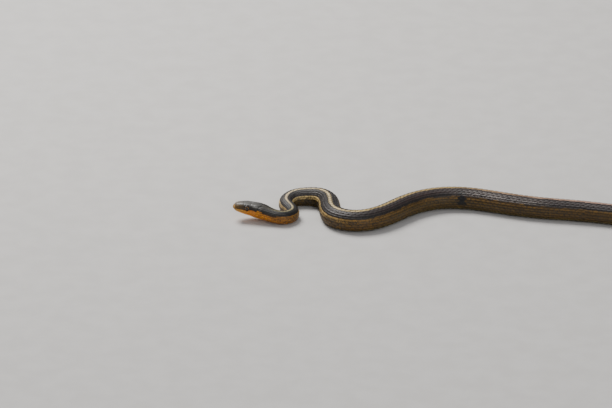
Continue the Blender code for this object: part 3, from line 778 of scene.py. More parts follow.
def flat_drawing(points, faces):
    """For each corner of each face, a place in the unit cell, with the underside set apart."""
    drawn = []
    low, high = points[:, :2].min(0), points[:, :2].max(0)
    for face in faces:
        corner = (points[face, :2] - low) / (high - low)
        if (points[face, 2] < 0.5).all():
            corner = UNDERSIDE_CORNER + corner * UNDERSIDE_SIZE
        else:
            grow = np.where(points[face, 2:] < 0.5, SIDES_HALF, TOP_HALF)
            corner = CELL_MIDDLE + (corner - 0.5) * grow * 2
        drawn.append(corner)
    return np.concatenate(drawn)


def shifted(values, copies, step):
    """The same whole numbers for each copy, each time a step further on."""
    return (np.arange(copies)[:, None] * step + values).astype(np.int32).ravel()


def join_copies(name, placed, numbers, faces, drawing, cells):
    """A mesh of many copies. placed is copies x points x 3, and cells gives each copy's corner and size."""
    copies, count = placed.shape[:2]
    mesh = bpy.data.meshes.new(name)
    lengths = np.array([len(face) for face in faces])
    loops = np.concatenate([np.asarray(face) for face in faces])
    mesh.vertices.add(copies * count)
    mesh.vertices.foreach_set("co", placed.astype(np.float32).ravel())
    mesh.loops.add(copies * len(loops))
    mesh.loops.foreach_set("vertex_index", shifted(loops, copies, count))
    mesh.polygons.add(copies * len(faces))
    starts = np.concatenate([[0], np.cumsum(lengths)[:-1]])
    mesh.polygons.foreach_set("loop_start", shifted(starts, copies, len(loops)))
    mesh.update(calc_edges=True)
    layer = mesh.uv_layers.new(name="OFBake")
    corner, size = cells
    layer.data.foreach_set("uv", (corner[:, None] + drawing * size[:, None]).astype(np.float32).ravel())
    set_numbers(mesh, **numbers)
    mesh.validate()
    return mesh


# %% [markdown]
# ## The rows of the back
# Nineteen rows of scales run down the trunk, seventeen behind its middle, each shifted by half a scale
# against its neighbours, and the tail loses two rows at a time. The rows lie between the edges of the broad
# belly scutes. A scale is named by its station and angle, its points are laid on the outlines, and its height
# over the skin grows towards its tip. Where the body swells the scales are shorter and narrower for the space
# they fill, so that the skin shows between them.

# %% Where the columns and rows lie
PITCH = smooth_table([(0, 0.0021), (0.026, 0.0024), (0.060, 0.0029), (0.120, 0.0036), (0.300, 0.0038),
                      (0.520, 0.0032), (0.560, 0.0028), (0.680, 0.0015)])
ROW_CHANGES = [(0.330, 19), (0.500, 17), (0.545, 15), (0.570, 13), (0.595, 11), (0.625, 9), (0.655, 7),
               (1, 5)]
BACK_START = 0.0170
SCALES_END = 0.6785
SCALE_SPREAD = smooth_table([
    (0, 1.34, 0.56), (0.058, 1.30, 0.54), (0.075, 1.20, 0.50), (0.110, 1.20, 0.50), (0.135, 1.32, 0.55),
    (0.228, 1.32, 0.55), (0.246, 1.10, 0.46), (0.290, 1.10, 0.46), (0.320, 1.26, 0.52), (0.680, 1.32, 0.55)])
LENGTHS = [("head", BACK_START, 0.0240), ("neck", 0.0240, 0.0580), ("fore_bend", 0.0580, 0.1120),
           ("fore_trunk", 0.1120, 0.1900), ("mid_trunk", 0.1900, 0.3000), ("rear_trunk", 0.3000, 0.4100),
           ("hind_trunk", 0.4100, VENT_AT), ("tail", VENT_AT, 0.6050), ("tail_tip", 0.6050, SCALES_END)]
draw = np.random.default_rng(7)


def columns_from(start, end):
    found = [start]
    while found[-1] < end:
        found.append(found[-1] + float(PITCH(found[-1])[0]))
    return np.array(found[:-1])


def rows_at(s):
    return next(count for limit, count in ROW_CHANGES if s < limit)


def lay_rows():
    """Every scale as station, angle, pitch and the angle that its row takes."""
    found = []
    for s in columns_from(BACK_START, SCALES_END):
        count, pitch = rows_at(s), float(PITCH(s)[0])
        row_angle = (math.pi - SCUTE_EDGE) / (count / 2)
        for row in range(-(count // 2), count // 2 + 1):
            found.append((s + pitch * 0.5 * (row % 2), math.pi + row * row_angle, pitch, row_angle))
    return np.array(found)


scales = lay_rows()
print(len(scales), "scales on back and flanks")


# %% Scales laid on the outlines
CROWN_RISES = [-0.00016, -0.00004, 0.00004, 0.00006, 0.00005]
UNDER_RISES = [-0.00030, -0.00018, -0.00006]
SIDE_DROP, KEEL_RISE = 0.00007, 0.00006
KEEL_COLUMN, LAST_COLUMN = 3, 6
PATCH = 0.003
PAINT_SPREAD = 0.6
SIZE_CHANGE = 0.04
FULL_SCALE, FULL_SCUTE, LEAST_SIZE = 0.0034, 0.0036, 0.4
TAIL_MARGIN = 0.0001


def scale_heights(points, keel):
    """How high each point of the unit scale stands over the outline, for a scale of full size."""
    v, on_top = points[:, 1], points[:, 2] > 0.5
    across = points[:, 0] / np.interp(v, SCALE_ROWS, SCALE_WIDTHS)
    column = np.rint(np.interp(across, SCALE_COLUMNS, range(LAST_COLUMN + 1)))
    crown = np.interp(v, SCALE_ROWS, CROWN_RISES)
    side = SIDE_DROP * SCALE_COLUMNS[column.astype(int)] ** 2
    on_keel = column == KEEL_COLUMN
    ridge = keel * KEEL_RISE * on_keel * np.interp(v, [0, 0.2, 0.9, 1], [0, 1, 1, 0.5])
    under = np.interp(v, [0, 0.5, 1], UNDER_RISES)
    # The rim number paints shade on the scale's edges, tip, sides and underside, and a highlight down its
    # keel where it is negative
    edge = (column == 0) | (column == LAST_COLUMN) | (v > 0.99)
    rim = edge * 1.0 - 0.4 * keel * on_keel * (v < 0.99)
    return np.where(on_top, crown - side + ridge, under - side), np.where(on_top, rim, 1.0)


# %% Lay a set of scales
def lay_on(s, angle, rises, length, full):
    """Points over the outline, with lower heights for a scale that is shorter than the full one."""
    size = np.clip(length / full, LEAST_SIZE, 1)
    return over(np.clip(s, 0, TOTAL_LENGTH - TAIL_MARGIN), angle, rises * size)


def for_each(numbers, count):
    """One number of each scale at all its points."""
    return np.repeat(numbers, count, 1)


def lay_scales(name, laid, keel):
    """One joined mesh of scales. laid holds station, angle, pitch and row angle of each."""
    points, drawing = scale_points, flat_drawing(scale_points, scale_faces)
    heights, rim = scale_heights(points, keel)
    s0, angle0, pitch, row_angle = (laid[:, k:k + 1] for k in range(4))
    grown = 1 + SIZE_CHANGE * draw.standard_normal(s0.shape)
    length, half = SCALE_SPREAD(s0)
    s = s0 + (points[:, 1] - 0.5) * length * pitch * grown
    angle = angle0 + points[:, 0] * half * row_angle
    placed = lay_on(s, angle, heights, pitch, FULL_SCALE)
    count = len(points)
    numbers = {
        "along": for_each(s0 / TOTAL_LENGTH, count), "chance": for_each(draw.random(s0.shape), count),
        "round": roundness(s0, angle0 + PAINT_SPREAD * (angle - angle0)),
        "rim": np.repeat(rim[None], len(laid), 0)}
    low, high = s0.min(), s0.max()
    corner = np.concatenate([(s0 - low) / (high - low), (angle0 % (2 * math.pi)) / (2 * math.pi)], 1)
    corner = corner * (1 - 2 * PATCH) + PATCH / 2
    cells = corner, np.full((len(laid), 2), PATCH)
    mesh = join_copies(name, placed, numbers, scale_faces, drawing, cells)
    finish_piece(name, mesh, scale_coat, "striped_skin")


# %% [markdown]
# The scales begin where the horny plates of the head end, so a first few are left out there. Under the chin
# the scales are small and smooth, and lie between the chin plates and the first broad scute.

# %% Lay the scales of the back
HEAD_EDGE = [(0.00, 20.8), (0.10, 20.3), (0.13, 19.7), (0.39, 19.5), (0.42, 18.9), (0.64, 18.9),
             (0.66, 18.2), (1.0, 18.2)]


def behind_plates(laid):
    edge = np.interp(np.abs(laid[:, 1] - math.pi) / math.pi, *zip(*HEAD_EDGE)) * MM
    return laid[:, 0] - 0.1 * laid[:, 2] > edge


scales = scales[behind_plates(scales)]
for length, start, end in LENGTHS:
    chosen = scales[(scales[:, 0] >= start) & (scales[:, 0] < end)]
    lay_scales(f"{length}_scales", chosen, 1.0)

# %% [markdown]
# ## Broad scutes of the belly
# A snake grips the ground with one row of broad scutes under its trunk, each a little over the next, and with
# paired ones under its tail. A scute is drawn as a wide flat grid that is thickened, and then wrapped under
# the body. Its underside is kept as strips, so that it bends with it.

# %% Draw and lay the scutes
SCUTE_ROWS = np.array([0, 0.4, 0.84, 1])
SCUTE_WIDTHS = np.array([0.97, 1.0, 0.99, 0.95])
SCUTE_RISES = np.array([-0.00012, 0.00008, 0.00021, 0.00016])
SCUTE_UNDER_RISES = [-0.00030, 0.00006]
SCUTE_OVERLAP = 1.10
SCUTE_COUNT = 136
FIRST_SCUTE = 0.0215
BEFORE_VENT, ANAL_PLATE = 0.0022, 0.0046
SUBCAUDALS_END = 0.6770


def draw_scute(parts):
    """A unit scute, with as many strips across as parts."""
    bm = bmesh.new()
    bmesh.ops.create_grid(bm, x_segments=parts, y_segments=3, size=1)
    for vert in bm.verts:
        row = round((vert.co.y + 1) * 1.5)
        vert.co = vert.co.x * SCUTE_WIDTHS[row], SCUTE_ROWS[row], 0
    thicken(bm)
    cross = [edge for edge in bm.edges if len(edge.link_faces) == 2
             and max(vert.co.z for vert in edge.verts) < 0.5
             and abs(edge.verts[0].co.y - edge.verts[1].co.y) < 1e-4 and 0.01 < edge.verts[0].co.y < 0.99]
    bmesh.ops.dissolve_edges(bm, edges=cross, use_verts=False)
    return points_and_faces(bm)


def lay_scutes(name, shape, laid):
    """Scutes from station, length, middle angle and half angle."""
    points, faces = shape
    s0, length, angle0, half = (laid[:, k:k + 1] for k in range(4))
    s = s0 + points[:, 1] * length * SCUTE_OVERLAP
    angle = angle0 + points[:, 0] * half
    on_top = points[:, 2] > 0.5
    rise = np.interp(points[:, 1], SCUTE_ROWS, SCUTE_RISES)
    rise = np.where(on_top, rise, np.interp(points[:, 1], [0, 1], SCUTE_UNDER_RISES))
    placed = lay_on(s, angle, rise, length, FULL_SCUTE)
    # The rim number paints shade at the front and back edges and on the underside
    rim = np.where(on_top, (points[:, 1] > 0.99) * 0.8 + (points[:, 1] < 0.01) * 0.6, 1.0)
    numbers = {
        "along": for_each(s0 / TOTAL_LENGTH, len(points)), "rim": np.repeat(rim[None], len(laid), 0),
        "round": roundness(s, angle)}
    corner = np.concatenate([(s0 - s0.min()) / np.ptp(s0), 0.5 + (angle0 - half) / (2 * math.pi)], 1)
    corner[:, 0] = corner[:, 0] * (1 - 2 * PATCH) + PATCH / 2
    cell = np.concatenate([np.full_like(half, PATCH), half / math.pi * 0.96], 1)
    mesh = join_copies(name, placed, numbers, faces, flat_drawing(points, faces), (corner, cell))
    finish_piece(name, mesh, scute_coat, "striped_skin")


def scute_edge_at(s):
    """How far round the belly scutes reach. They begin narrow under the throat."""
    return SCUTE_EDGE * (0.60 + 0.40 * smooth_step(0.020, 0.036, s))


def ventral_rows():
    fronts = np.linspace(FIRST_SCUTE, VENT_AT - BEFORE_VENT, SCUTE_COUNT)
    steps = np.append(np.diff(fronts), ANAL_PLATE)
    half = scute_edge_at(fronts) + math.radians(1.5)
    return np.stack([fronts, steps, np.zeros_like(fronts), half], 1)


def subcaudal_rows():
    found, s = [], VENT_AT + BEFORE_VENT
    while s < SUBCAUDALS_END:
        pitch = float(PITCH(s)[0]) * 0.92
        for side in (-1, 1):
            found.append((s + (side > 0) * pitch / 2, pitch, side * SCUTE_EDGE / 2, SCUTE_EDGE / 2 + 0.012))
        s += pitch
    return np.array(found)


lay_scutes("belly_scutes", draw_scute(12), ventral_rows())
lay_scutes("tail_scutes", draw_scute(5), subcaudal_rows())

# %% Small smooth scales of the throat
CHIN_END = [(0, 12.6), (12, 12.0), (30, 11.4), (34, 8.6), (60, 8.4)]
THROAT_COLUMNS = np.arange(0.0080, 0.0290, 0.00125)
THROAT_STEP, THROAT_EDGE = math.radians(11.5), math.radians(56)
THROAT_PITCH, THROAT_GAP = 0.0017, 0.0005


def throat_rows():
    found = []
    for column, s in enumerate(THROAT_COLUMNS):
        for row in range(-5, 6):
            angle = (row + 0.5 * (column % 2)) * THROAT_STEP
            limit = np.interp(abs(math.degrees(angle)), *zip(*CHIN_END)) * MM
            covered = s > FIRST_SCUTE + THROAT_GAP and abs(angle) < scute_edge_at(s)
            if abs(angle) < THROAT_EDGE and s > limit + THROAT_GAP and not covered:
                found.append((s, angle, THROAT_PITCH, THROAT_STEP))
    return np.array(found)


lay_scales("throat_scales", throat_rows(), 0.0)

# %% [markdown]
# ## The horny plates of the head
# Large plates fit together on a garter snake's head like tiles, always in the same order, and people tell the
# kinds apart by them. Each is drawn as a flat outline in millimetres: those of the crown as seen from above,
# those of the cheeks and lips from the side, those of the chin from below, and the ones at the tip of the
# snout from the front. The outline is drawn in a little to leave a seam, its corners are rounded, and rings
# inside it rise to an even crown. Bridging those rings makes the plate, and its root lies in the skin.

# %% Find the place of a drawn point
FRONT_ROUNDS = 5


def find(view, a, b):
    """The stations and angles of places drawn in one view of the head, in metres."""
    side = np.where(b < 0, -1.0, 1.0)
    zero, top, quarter = np.zeros_like(a), np.full_like(a, math.pi), np.full_like(a, math.pi / 2)
    if view == "side":
        return a, solve(zero + 0.1, top, lambda angle: outline(a, angle)[1] < b)
    if view == "top":
        return a, side * solve(quarter, top, lambda angle: outline(a, angle)[0] > abs(b))
    if view == "bottom":
        return a, side * solve(zero, quarter, lambda angle: outline(a, angle)[0] < abs(b))
    s = np.full_like(a, NOSE_ROUND / 2)
    for _ in range(FRONT_ROUNDS):
        half, low, high = sizes(s)
        wide = low + WIDEST_AT * (high - low)
        way = np.arctan2(abs(a), wide - b)
        rounded = np.full_like(a, NOSE_ROUND)
        whole = sizes(rounded)
        level = whole[1] + WIDEST_AT * (whole[2] - whole[1])

        def before(angle):
            across, up = outline(rounded, angle)
            return np.arctan2(across, level - up) < way

        angle = solve(zero, top, before)
        full = outline(s, angle)
        share = np.hypot(a, b - wide) / np.hypot(full[0], full[1] - wide)
        rounding = np.sqrt(1 - (1 - s / NOSE_ROUND) ** 2)
        s = NOSE_ROUND * (1 - np.sqrt(1 - np.minimum(share * rounding, 0.98) ** 2))
    return s, np.where(a < 0, -1.0, 1.0) * angle


# %% Lines that plates of two views share, in millimetres
CANTHUS = [(1.1, 1.45), (2.4, 2.35), (3.55, 2.85), (6.9, 3.45), (9.0, 3.9), (11.4, 4.1), (13.0, 4.0),
           (14.6, 4.35), (17.6, 4.0), (20.2, 2.3)]
UPPER_LIP_ENDS = [1.4, 3.0, 5.2, 7.6, 10.0, 12.6, 15.6, 19.0]
UPPER_LIP_TOPS = [4.6, 4.7, 4.85, 4.8, 4.7, 6.0, 6.6, 6.3]
LIP_MARGIN = 0.08


def level_of(s, height):
    """A height of the side view, where brow is the edge of the crown and lip the top of the upper lip."""
    if height == "lip":
        return float(np.interp(s, UPPER_LIP_ENDS, UPPER_LIP_TOPS))
    if height == "brow":
        station = np.array([s * MM])
        across = np.array([np.interp(s, *zip(*CANTHUS)) * MM])
        return float(outline(*find("top", station, across))[1][0]) / MM
    return height


def on_front(s, height):
    """A place of the side view as the front view shows it."""
    level = level_of(s, height)
    return float(outline(*find("side", np.array([s * MM]), np.array([level * MM])))[0][0]) / MM, level


# %% Draw the edge of a plate
SEAM = 0.025
EDGE_STEP = 0.24
CORNER_KEPT, CORNER_SHARED = 0.6, 0.2
EYE_OVAL = np.array([EYE_AT[0], EYE_AT[2]]) / MM, np.array([EYE_RADII[0], EYE_RADII[2]]) / MM
EYE_CLEAR, NOSTRIL_CLEAR = (1.07, 1.35), (1.0, 1.01)
NOSTRIL_OVAL = np.array([2.12, 5.60]), np.array([0.36, 0.36])


def push_clear(points, oval, edge, reach):
    """Points in or near an oval are moved outwards, so that the plate's side follows it."""
    middle, radii = oval
    apart = (points - middle) / radii
    far = np.maximum(np.linalg.norm(apart, axis=1, keepdims=True), 0.1)
    eased = edge + np.clip(far - edge, 0, None) ** 2 / (reach - edge)
    near = np.where(far < edge, edge, np.where(far < reach, eased, far))
    return middle + apart / far * near * radii


def plate_edge(corners, view):
    """Points round a plate in millimetres, drawn in by half a seam and rounded at the corners."""
    points = []
    for (a, b), (c, d) in zip(corners, corners[1:] + corners[:1]):
        start, end = level_of(a, b), level_of(c, d)
        along_line = b == d and b in ("lip", "brow")
        parts = max(2, round(math.hypot(c - a, end - start) / EDGE_STEP))
        for share in np.arange(parts) / parts:
            s = a + (c - a) * share
            points.append((s, level_of(s, b) if along_line else start + (end - start) * share))
    points = np.array(points)
    if view == "side":
        points = push_clear(points, EYE_OVAL, *EYE_CLEAR)
        points = push_clear(points, NOSTRIL_OVAL, *NOSTRIL_CLEAR)
    before, after = np.roll(points, 1, 0), np.roll(points, -1, 0)
    points = points * CORNER_KEPT + (before + after) * CORNER_SHARED
    turn = np.roll(points, -1, 0) - np.roll(points, 1, 0)
    turn /= np.maximum(np.linalg.norm(turn, axis=1, keepdims=True), 1e-6)
    inward = np.stack([-turn[:, 1], turn[:, 0]], 1)
    area = np.sum(points[:, 0] * np.roll(points[:, 1], -1) - points[:, 1] * np.roll(points[:, 0], -1))
    return points + inward * math.copysign(SEAM, area)


# %% Rings of a plate
# The third number of a ring is its rim number, which paints the plate's edge darker: shade in the seams, and
# the real dark sutures of the lips
PLATE_RINGS = [(0.90, -0.00026, 1.0), (1.00, 0.00002, 1.0), (0.97, 0.00009, 0.6), (0.91, 0.00012, 0.1),
               (0.70, 0.00014, 0.0), (0.42, 0.00015, 0.0), (0.18, 0.00015, 0.0)]
NUMBERS = ("along", "round", "rim", "chance")
DRAWN_LENGTH = 0.030
ROOT_SPOT, ROOTS_AT = 0.0015, 0.97


def stacked_circle(bm, sides, level):
    """A circle on a stack of circles, so that a bridge to the one under it can't turn round."""
    at_level = Matrix.Translation((0, 0, level))
    verts = bmesh.ops.create_circle(bm, segments=sides, radius=1, matrix=at_level)["verts"]
    return verts, list({link for vert in verts for link in vert.link_edges})


def face_outwards(bm, faces):
    """Make the faces of one closed shape agree, and turn them all round if they look inwards."""
    bm.normal_update()
    bmesh.ops.recalc_face_normals(bm, faces=faces)
    middle = faces[0].calc_center_median()
    inside = sum(face.normal.dot(face.calc_center_median() - middle) * face.calc_area() for face in faces)
    if inside < 0:
        bmesh.ops.reverse_faces(bm, faces=faces)


# %% Model one plate
def find_ring(view, edge, share):
    """Stations and angles of a ring inside the edge, at a share of the way out from its middle."""
    centre = edge.mean(0)
    flat = (centre + share * (edge - centre)) * MM
    return find(view, flat[:, 0], flat[:, 1])


def drawn_flat(view, edge, share, side, belly_seam):
    """Places in the flat drawing, which is cut open along the belly or along the back."""
    s, angle = find_ring(view, edge, share)
    angle = (angle * side) % (2 * math.pi) - math.pi if belly_seam else angle * side
    return np.stack([s / DRAWN_LENGTH, 0.46 + 0.45 * angle / math.pi], 1)


def model_plate(bm, view, corners, side, belly_seam, spot):
    """Rings from the root over the rim to the middle of the plate, bridged one to the next."""
    edge = plate_edge(corners, view)
    layers = [bm.verts.layers.float.get(number) for number in NUMBERS]
    drawing = bm.loops.layers.uv.get("OFBake")
    chance = float(draw.random())
    loops, faces, drawn, shaped = [], [], {}, []
    for share, rise, rim in PLATE_RINGS + [(0.0, PLATE_RINGS[-1][1], 0.0)]:
        if share:
            verts, edges = stacked_circle(bm, len(edge), len(loops))
            loops.append(edges)
            if len(loops) > 1:
                faces += bmesh.ops.bridge_loops(bm, edges=loops[-2] + loops[-1])["faces"]
        else:
            cap = bmesh.ops.contextual_create(bm, geom=loops[-1])["faces"]
            poked = bmesh.ops.poke(bm, faces=cap)
            verts = poked["verts"]
            faces += poked["faces"]
        s, angle = find_ring(view, edge, share)
        shown = drawn_flat(view, edge, 1.0 if len(loops) == 1 else share * 0.94, side, belly_seam)
        shaped += list(zip(verts, over(s, angle * side, rise), shown, s, angle, [rim] * len(s)))
    for vert, point, shown, s, angle, rim in shaped:
        vert.co = point
        drawn[vert] = shown
        for layer, value in zip(layers, (s / TOTAL_LENGTH, 1 - abs(angle) / math.pi, rim, chance)):
            vert[layer] = value
    for face in faces:
        for loop in face.loops:
            loop[drawing].uv = drawn[loop.vert]
    root = bmesh.ops.contextual_create(bm, geom=loops[0])["faces"]
    for k, loop in enumerate(root[0].loops):
        way = 2 * math.pi * k / len(root[0].loops)
        loop[drawing].uv = spot + ROOT_SPOT * math.cos(way), ROOTS_AT + ROOT_SPOT * math.sin(way)
    face_outwards(bm, faces + root)


def model_plates(name, coat, slot, drawn, belly_seam=True):
    """A piece of several plates, each given as view, corners and side."""
    bm = bmesh.new()
    bm.loops.layers.uv.new("OFBake")
    for number in NUMBERS:
        bm.verts.layers.float.new(number)
    for count, (view, corners, side) in enumerate(drawn):
        model_plate(bm, view, corners, side, belly_seam, (count + 0.5) / len(drawn))
    finish_piece(name, mesh_from(name, bm), coat, slot)


# %% [markdown]
# The colour of a plate runs with its place on the head: the snout is golden brown, the crown a dark grey that
# shines a little and is painted lighter on top as a sheen, darkening towards its outer edge, the cheek dark
# olive, and both lips turn orange towards the corner of the mouth. The dark seams come from the rim number,
# which paints shade into the seams and stands for the dark sutures of the lips as well, and a fine noise
# keeps the horn from looking like paint.

# %% Colours of the plates
def plate_coat(name, gloss, colours):
    """Horn coloured down the head, with stops in millimetres from the snout, and mottled by a noise."""
    made, tree, sockets = material(name, 0.34, 0.5, gloss)
    base = down_body(tree, read(tree, "along"), colours)
    # The crown turns dark olive towards its outer edge, where the band through the eye begins and its painted
    # sheen ends
    if name == "crown_coat":
        base = mix(tree, between(tree, read(tree, "round"), 0.16, 0.22), base, (*tint(52, 44, 30), 1))
    mottle = from_to(tree, between(tree, noise(tree, 520, 5.0, 0.65), 0.30, 0.70), 0.83, 0.34)
    single = from_to(tree, read(tree, "chance"), 0.9, 0.2)
    base = mix(tree, 1.0, base, grey(tree, times(tree, mottle, single)), "MULTIPLY")
    finish_horn(tree, sockets, base, read(tree, "rim"), bump=0.12)
    return made


# The crown's greys are lighter than its horn because a sheen is painted into them
crown_coat = plate_coat("crown_coat", 0.2, [
    (1, (118, 106, 86)), (4, (100, 95, 88)), (8, (86, 84, 80)), (14, (78, 76, 72)), (20, (54, 52, 46))])
cheek_coat = plate_coat("cheek_coat", 0.08, [
    (1, (96, 72, 30)), (5, (76, 57, 25)), (8, (42, 34, 20)), (13, (34, 28, 18)), (20, (34, 30, 21))])
lip_coat = plate_coat("lip_coat", 0.10, [
    (0.5, (136, 102, 44)), (3, (172, 126, 48)), (8, (196, 128, 34)), (13, (202, 120, 22)),
    (19, (186, 110, 20))])
chin_coat = plate_coat("chin_coat", 0.10, [
    (0.5, (180, 132, 58)), (4, (214, 150, 54)), (10, (220, 134, 30)), (19, (202, 116, 20))])

# %% Outlines of the plates, in millimetres
FRONTAL_PLATE = [(7.0, 0.0), (7.35, 1.65), (10.0, 1.4), (12.4, 1.2), (13.8, 0.0), (12.4, -1.2), (10.0, -1.4),
                 (7.35, -1.65)]
CROWN_PLATES = [
    [(1.1, 0.0), (1.1, 1.45), (2.4, 2.35), (3.55, 2.85), (3.65, 1.4), (3.7, 0.0)],
    [(3.7, 0.0), (3.65, 1.4), (3.55, 2.85), (6.9, 3.45), (7.35, 1.65), (7.0, 0.0)],
    [(7.35, 1.65), (6.9, 3.45), (9.0, 3.9), (11.4, 4.1), (13.0, 4.0), (12.4, 1.2), (10.0, 1.4)],
    [(13.8, 0.0), (12.4, 1.2), (13.0, 4.0), (14.6, 4.35), (17.6, 4.0), (20.2, 2.3), (20.9, 0.3), (20.6, 0.0)],
]
CHEEK_PLATES = [
    [(1.4, "lip"), (1.4, 5.5), (1.2, "brow"), (2.2, "brow"), (2.12, "lip")],
    [(2.12, "lip"), (2.2, "brow"), (3.95, "brow"), (4.0, "lip")],
    [(4.0, "lip"), (3.95, "brow"), (6.2, "brow"), (6.3, "lip")],
    [(6.3, "lip"), (6.2, "brow"), (8.3, "brow"), (7.7, 6.6), (8.1, "lip")],
    [(11.7, "lip"), (12.1, 6.75), (13.85, 6.85), (13.9, "lip")],
    [(12.1, 6.75), (12.1, 7.50), (13.75, 7.55), (13.85, 6.85)],
    [(12.1, 7.50), (11.2, "brow"), (13.5, "brow"), (13.75, 7.55)],
    [(13.9, "lip"), (13.85, 6.85), (13.75, 7.55), (13.5, "brow"), (16.9, "brow"), (16.9, "lip")],
    [(16.9, "lip"), (16.9, "brow"), (19.6, "brow"), (19.3, "lip")],
]
ROSTRAL_SIDE = [on_front(1.4, 3.98), on_front(1.4, 4.6), on_front(1.4, 5.5), on_front(1.2, "brow")]
ROSTRAL_TOP = float(outline(np.array([1.1 * MM]), np.array([math.pi]))[1][0]) / MM
ROSTRAL_PLATE = [(-1.6, 4.13), (1.6, 4.13)] + ROSTRAL_SIDE + [(0.0, ROSTRAL_TOP)] + [
    (-x, z) for x, z in reversed(ROSTRAL_SIDE)]
MENTAL_PLATE = [(-1.9, 3.84), (1.9, 3.84), (1.5, 3.3), (0.6, 3.0), (-0.6, 3.0), (-1.5, 3.3)]
CHIN_PLATES = [
    [(0.95, 0.0), (1.0, 0.6), (1.15, 1.45), (2.2, 1.95), (3.1, 2.2), (3.0, 0.0)],
    [(3.0, 0.0), (3.1, 2.2), (5.2, 2.45), (7.6, 2.7), (7.9, 0.0)],
    [(7.9, 0.0), (7.6, 2.7), (9.6, 2.85), (11.6, 2.4), (12.4, 0.9), (11.0, 0.2)],
]
LOWER_LIP_ENDS = [0.6, 2.2, 4.0, 5.9, 7.7, 9.6, 11.6, 13.8, 16.2, 19.2]
LOWER_LIP_HEIGHTS = [(8.0, 2.3), (11.2, 1.25)]


def lip_plates(ends, inner, outer):
    """Corners of a row of plates along the mouth."""
    lines = mouth(np.array(ends) * MM)[0] / MM
    for k in range(len(ends) - 1):
        (a, low), (b, high) = (ends[k], lines[k]), (ends[k + 1], lines[k + 1])
        yield [(a, low + inner), (b, high + inner), (b, outer(b, high)), (a, outer(a, low))]


def lower_edge(s, line):
    """Where a plate of the lower lip ends below, but not past the turn to the chin."""
    turn = float(outline(np.array([s * MM]), np.array([0.55]))[1][0]) / MM
    return max(line - LIP_MARGIN - float(np.interp(s, *zip(*LOWER_LIP_HEIGHTS))), turn)


# %% Model the plates of the head
both = (1, -1)
model_plates("crown_plates", crown_coat, "striped_skin", [("top", FRONTAL_PLATE, 1)] + [
    ("top", corners, side) for side in both for corners in CROWN_PLATES])
model_plates("cheek_plates", cheek_coat, "striped_skin", [
    ("side", corners, side) for side in both for corners in CHEEK_PLATES])
upper = list(lip_plates(UPPER_LIP_ENDS, LIP_MARGIN, lambda s, line: level_of(s, "lip")))
lower = list(lip_plates(LOWER_LIP_ENDS, -LIP_MARGIN, lower_edge))
model_plates("upper_lip_plates", lip_coat, "striped_skin", [("front", ROSTRAL_PLATE, 1)] + [
    ("side", corners, side) for side in both for corners in upper])
model_plates("lower_lip_plates", chin_coat, "orange_skin", [("front", MENTAL_PLATE, 1)] + [
    ("side", corners, side) for side in both for corners in lower] + [
    ("bottom", corners, side) for side in both for corners in CHIN_PLATES], belly_seam=False)

# %% [markdown]
# ## The eyes
# A snake has no lids: one clear scale covers the eye, which is why it always shines. The ball is a sphere
# whose pole looks outwards, so that pupil and iris are rings round the pole and can be coloured by the
# distance from it. A soft dark rim closes the skin round it, made as rings of points bridged one to the next.

# %% Material of the eye
eye_gloss, tree, sockets = material("eye_gloss", 0.10, 0.4, 0.3)
ring = read(tree, "ring")
streaks = noise(tree, 1800, 3.0, 0.6)
iris = mix(tree, streaks, (*tint(44, 28, 16), 1), (*tint(96, 62, 30), 1))
iris = mix(tree, between(tree, ring, 0.40, 0.47), (*tint(150, 112, 54), 1), iris)
iris = mix(tree, between(tree, ring, 0.36, 0.39), (0.002, 0.002, 0.002, 1), iris)
iris = mix(tree, between(tree, ring, 0.54, 0.66), iris, (0.006, 0.004, 0.003, 1))
tree.links.new(iris, sockets["Base Color"])
bump_up(tree, sockets, streaks, 0.05)


# %% Model the eyes
def model_eye(name, side, node):
    bm = bmesh.new()
    bm.loops.layers.uv.new("OFBake")
    bmesh.ops.create_uvsphere(bm, u_segments=48, v_segments=24, radius=1, calc_uvs=True)
    ring_of = bm.verts.layers.float.new("ring")
    origin, left, up = (value[0] for value in axes_at(np.array([EYE_AT[0]])))
    back, out = np.cross(up, left), left * side
    middle = origin + out * EYE_AT[1] + up * EYE_AT[2]
    for vert in bm.verts:
        x, y, z = vert.co
        vert[ring_of] = math.acos(max(-1, min(1, z))) / math.pi * 2
        vert.co = middle + back * x * EYE_RADII[0] + out * z * EYE_RADII[1] + up * y * EYE_RADII[2]
    bm.normal_update()
    bmesh.ops.recalc_face_normals(bm, faces=bm.faces)
    finish_piece(name, mesh_from(name, bm), eye_gloss, "dark_eye", node)


model_eye("left_eyeball", 1, "left_eye")
model_eye("right_eyeball", -1, "right_eye")

# %% Rims of the eyes
RIM_RINGS = [(0.85, -0.00070), (0.89, -0.00008), (0.94, 0.00006), (1.00, 0.00009), (1.06, 0.00004),
             (1.09, -0.00030)]
RIM_SIDES = 48
DRAWN_FROM, DRAWN_STEP = 0.06, 0.02
rim_coat = plate_coat("rim_coat", 0.3, [(6, (58, 46, 30)), (14, (44, 36, 26))])


